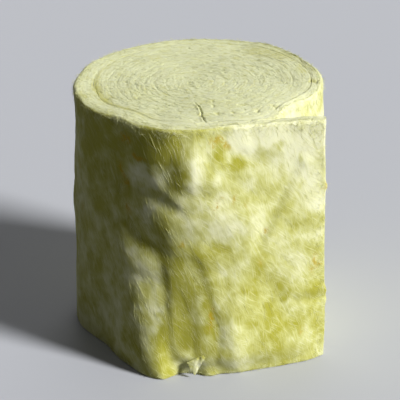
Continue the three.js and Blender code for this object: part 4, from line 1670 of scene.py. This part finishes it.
@dataclass
class LooseFibres:
    """The fuzz of loose fibres on the side wall, the top end and the edges."""

    outer: OuterTurn
    wall_surface: Surface
    end_surfaces: list[Surface]
    colouring: Colouring = Colouring()
    wall_count: int = 10500
    end_count: int = 5200
    edge_count: int = 5600
    lying: FibreKind = FibreKind((0.025, 0.070), (0.00012, 0.00026), 0.0003, 0.0020, 0.14, 4)
    felted: FibreKind = FibreKind((0.010, 0.030), (0.00018, 0.00036), 0.0009, 0.003, 0.7)
    fuzz: FibreKind = FibreKind((0.008, 0.022), (0.00014, 0.00028), 0.0012, 0.010, 1.2)
    seed: int = 71  # the three mats' seeds follow on
    wall_turns: float = 0.88  # how far round the roll the wall's fibres and the rim's fuzz go
    edge_turns: float = 0.9
    lean: float = 62.0  # degrees, as the blanket was drawn
    lean_wander: float = 0.4  # radians, with a coarse noise of the place
    lean_size: float = 0.12
    lean_spread: float = 0.16
    end_spread: float = 0.55
    end_shares: Quad = (0.56, 0.16, 0.06, 0.22)  # the outer turn's last
    rim_share: float = 0.66
    foot_share: float = 0.26
    cut_reach: float = 0.012
    edge_felt: float = 0.25
    least_run: float = 0.002  # the least size that a cell of the wall or the end is taken to have
    least_cell: float = 0.0008

    def cells(self, row: Array) -> tuple[Array, Array]:
        """The size of the wall surface's cells at some rows: along the run, and up the wall."""
        runs = self.outer.runs
        along = np.interp(row, np.arange(len(runs)), np.abs(np.gradient(runs)))
        return np.maximum(along, self.least_run), np.full_like(along, self.outer.form.width / self.outer.rows)

    def tail(self, turns: float) -> float:
        """The run after so many turns of the roll."""
        return -2.0 * math.pi * self.outer.form.radius * turns

    def rows_at(self, run: Array) -> Array:
        """The wall surface's rows at some runs."""
        runs = self.outer.runs
        return np.interp(-run, -runs, np.arange(len(runs)))

    def on_wall(self) -> bpy.types.Object:
        """Fibres all over the side wall, which lean as the blanket was drawn."""
        mat = FibreMat("wall_fibres", self.colouring, self.seed)
        run = mat.rng.uniform(self.tail(self.wall_turns), self.outer.runs[0], self.wall_count)
        row = self.rows_at(run)
        column = mat.rng.uniform(1.0, self.outer.rows - 1.0, self.wall_count)
        points, _ = self.wall_surface.at(row, column)
        lean = self.lean_wander * SmoothNoise(5).at(points, self.lean_size)
        heading = math.radians(self.lean) + lean + self.lean_spread * mat.rng.normal(size=self.wall_count)
        mat.lay_fibres(self.wall_surface, self.lying, row, column, heading, self.cells(row), 0.0)
        return mat.build()

    def on_end(self) -> bpy.types.Object:
        """Fibres on the top end, mostly round the roll."""
        mat = FibreMat("end_fibres", self.colouring, self.seed + 1)
        first = len(self.outer.heights) - 1
        band = Surface(self.wall_surface.points[:, first:], self.wall_surface.normals[:, first:])
        for surface, share in zip([*self.end_surfaces, band], self.end_shares):
            count = int(self.end_count * share)
            rows, columns = surface.points.shape[:2]
            row = mat.rng.uniform(0.0, rows - 1.0, count)
            column = mat.rng.uniform(0.0, columns - 1.0, count)
            here, _ = surface.at(row, column)
            beside, _ = surface.at(np.clip(row + 1.0, 0.0, rows - 1.0), column)
            inner, _ = surface.at(row, np.clip(column + 1.0, 0.0, columns - 1.0))
            ways = (beside - here, inner - here)
            cell = tuple(np.maximum(np.linalg.norm(way, axis=-1), self.least_cell) for way in ways)
            heading = self.end_spread * mat.rng.normal(size=count) + math.pi * mat.rng.integers(0, 2, count)
            mat.lay_fibres(surface, self.felted, row, column, heading, cell, 1.0)
        return mat.build()

    def on_edges(self) -> bpy.types.Object:
        """Short fuzz along the top rim, the cut end and the foot."""
        mat = FibreMat("edge_fuzz", self.colouring, self.seed + 2)
        runs, rows = self.outer.runs, self.outer.rows
        rim, foot = int(self.edge_count * self.rim_share), int(self.edge_count * self.foot_share)
        cut = self.edge_count - rim - foot
        stretches = ((self.tail(self.edge_turns), rim + foot), (runs[4] - self.cut_reach, cut))
        run = np.concatenate([mat.rng.uniform(start, runs[0], count) for start, count in stretches])
        row = self.rows_at(run)
        on_rim = rows + mat.rng.normal(-1.0, 3.0, rim)
        on_foot = np.abs(mat.rng.normal(0.0, 2.0, foot)) + 1.0
        column = np.concatenate([on_rim, on_foot, mat.rng.uniform(1.0, rows, cut)])
        heading = mat.rng.uniform(0.0, 2.0 * math.pi, len(row))
        mat.lay_fibres(self.wall_surface, self.fuzz, row, column, heading, self.cells(row), self.edge_felt)
        return mat.build()


@dataclass(frozen=True)
class Sun:
    """A sun lamp, with its angles in degrees."""

    name: str
    strength: float  # its irradiance
    angle: float  # how wide it looks, which softens its shadows
    bearing: float  # where it stands round the roll
    height: float

    def build(self) -> None:
        """Adds the lamp, turned to shine on the roll."""
        lamp = bpy.data.lights.new(self.name, "SUN")
        lamp.energy = self.strength
        lamp.angle = math.radians(self.angle)
        rise, turn = math.radians(self.height), math.radians(self.bearing)
        towards = Vector((math.cos(rise) * math.cos(turn), math.cos(rise) * math.sin(turn), math.sin(rise)))
        add_object(self.name, lamp).rotation_euler = towards.to_track_quat("Z", "Y").to_euler()


@dataclass(frozen=True)
class Studio:
    """A plain pale floor, one broad soft key from the right and front, an even sky, and the camera."""

    floor_half: float = 20.0
    floor_roughness: float = 0.9
    floor_colour: RGBA = srgb(188, 190, 196)
    floor_bounce: RGBA = srgb(90, 92, 98)  # what lights the roll from below
    sky_colour: RGBA = srgb(232, 234, 238)
    sky_light: float = 0.055
    key: Sun = Sun("key", 4.8, 14.0, -27.0, 32.0)
    back_fill: Sun = Sun("back_fill", 0.8, 50.0, 82.0, 18.0)
    camera_place: Triple = (0.0039, -4.2809, 2.2669)
    camera_down: float = 24.632
    lens: float = 180.0
    sensor: float = 36.0
    far: float = 100.0

    def floor(self) -> bpy.types.Object:
        """The floor, a plain square."""
        half = self.floor_half
        corners = [(-half, -half, 0), (half, -half, 0), (half, half, 0), (-half, half, 0)]
        mesh = bpy.data.meshes.new("floor")
        mesh.from_pydata(corners, [], [(0, 1, 2, 3)])
        piece = add_object("floor", mesh)
        material = bpy.data.materials.new("pale_floor")
        nodes = Nodes(material)
        colour = nodes.blend(nodes.seen(), self.floor_bounce, self.floor_colour)
        shader = nodes.add("BsdfPrincipled", {"Base Color": colour, "Roughness": self.floor_roughness})
        nodes.add("OutputMaterial", {"Surface": shader.outputs[0]})
        mesh.materials.append(material)
        return piece

    def lamps(self) -> None:
        """The key, a weak fill for the back, and a sky that looks pale to the camera but lights little."""
        self.key.build()
        self.back_fill.build()
        world = bpy.data.worlds.new("sky")
        bpy.context.scene.world = world
        nodes = Nodes(world)
        light = nodes.add("Background", {"Color": (1.0, 1.0, 1.0, 1.0), "Strength": self.sky_light})
        view = nodes.add("Background", {"Color": self.sky_colour})
        sky = nodes.add("MixShader", {0: nodes.seen(), 1: light.outputs[0], 2: view.outputs[0]})
        nodes.add("OutputWorld", {"Surface": sky.outputs[0]})

    def camera(self) -> None:
        """The camera: a long lens from the front and above, looking level across and tilted down."""
        lens = bpy.data.cameras.new("camera")
        lens.lens = self.lens
        lens.sensor_width = self.sensor
        lens.clip_end = self.far
        camera = add_object("camera", lens)
        camera.location = self.camera_place
        camera.rotation_euler = (math.radians(90.0 - self.camera_down), 0.0, 0.0)
        bpy.context.scene.camera = camera


def settle_in(piece: bpy.types.Object, finish: bpy.types.Material, padded: float | None) -> None:
    """Gives a piece its finish and its body, and reports it.

    Args:
        piece: the piece.
        finish: its material.
        padded: how full it is if it is stuffed or foam, from 0 to 1, or None; not used.
    """
    piece.data.materials.append(finish)
    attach(piece, BODY)
    faces = sum(len(face.vertices) - 2 for face in piece.data.polygons)
    log.info("%s: %d triangles", piece.name, faces)


def main() -> None:
    """Builds the camera, the roll's pieces and the studio."""
    logging.basicConfig(level=logging.INFO, format="%(name)s: %(message)s")
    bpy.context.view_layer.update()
    scene = bpy.context.scene
    scene.view_settings.view_transform = "Standard"
    studio = Studio()
    studio.camera()
    studio.lamps()
    studio.floor()

    wool = WoolFinish().material()
    outer_turn = OuterTurn()
    strip, wall_surface = outer_turn.build()
    settle_in(strip, wool, outer_turn.fill)
    inner_turns = InnerTurns()
    body, end_surfaces = inner_turns.build()
    settle_in(body, wool, inner_turns.fill)
    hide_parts(NODE)
    settle_in(FootTuft().build(), wool, None)

    fibre = FibreFinish().material()
    fibres = LooseFibres(outer_turn, wall_surface, end_surfaces)
    for mat in (fibres.on_wall(), fibres.on_end(), fibres.on_edges()):
        settle_in(mat, fibre, None)


if __name__ == "__main__":
    main()
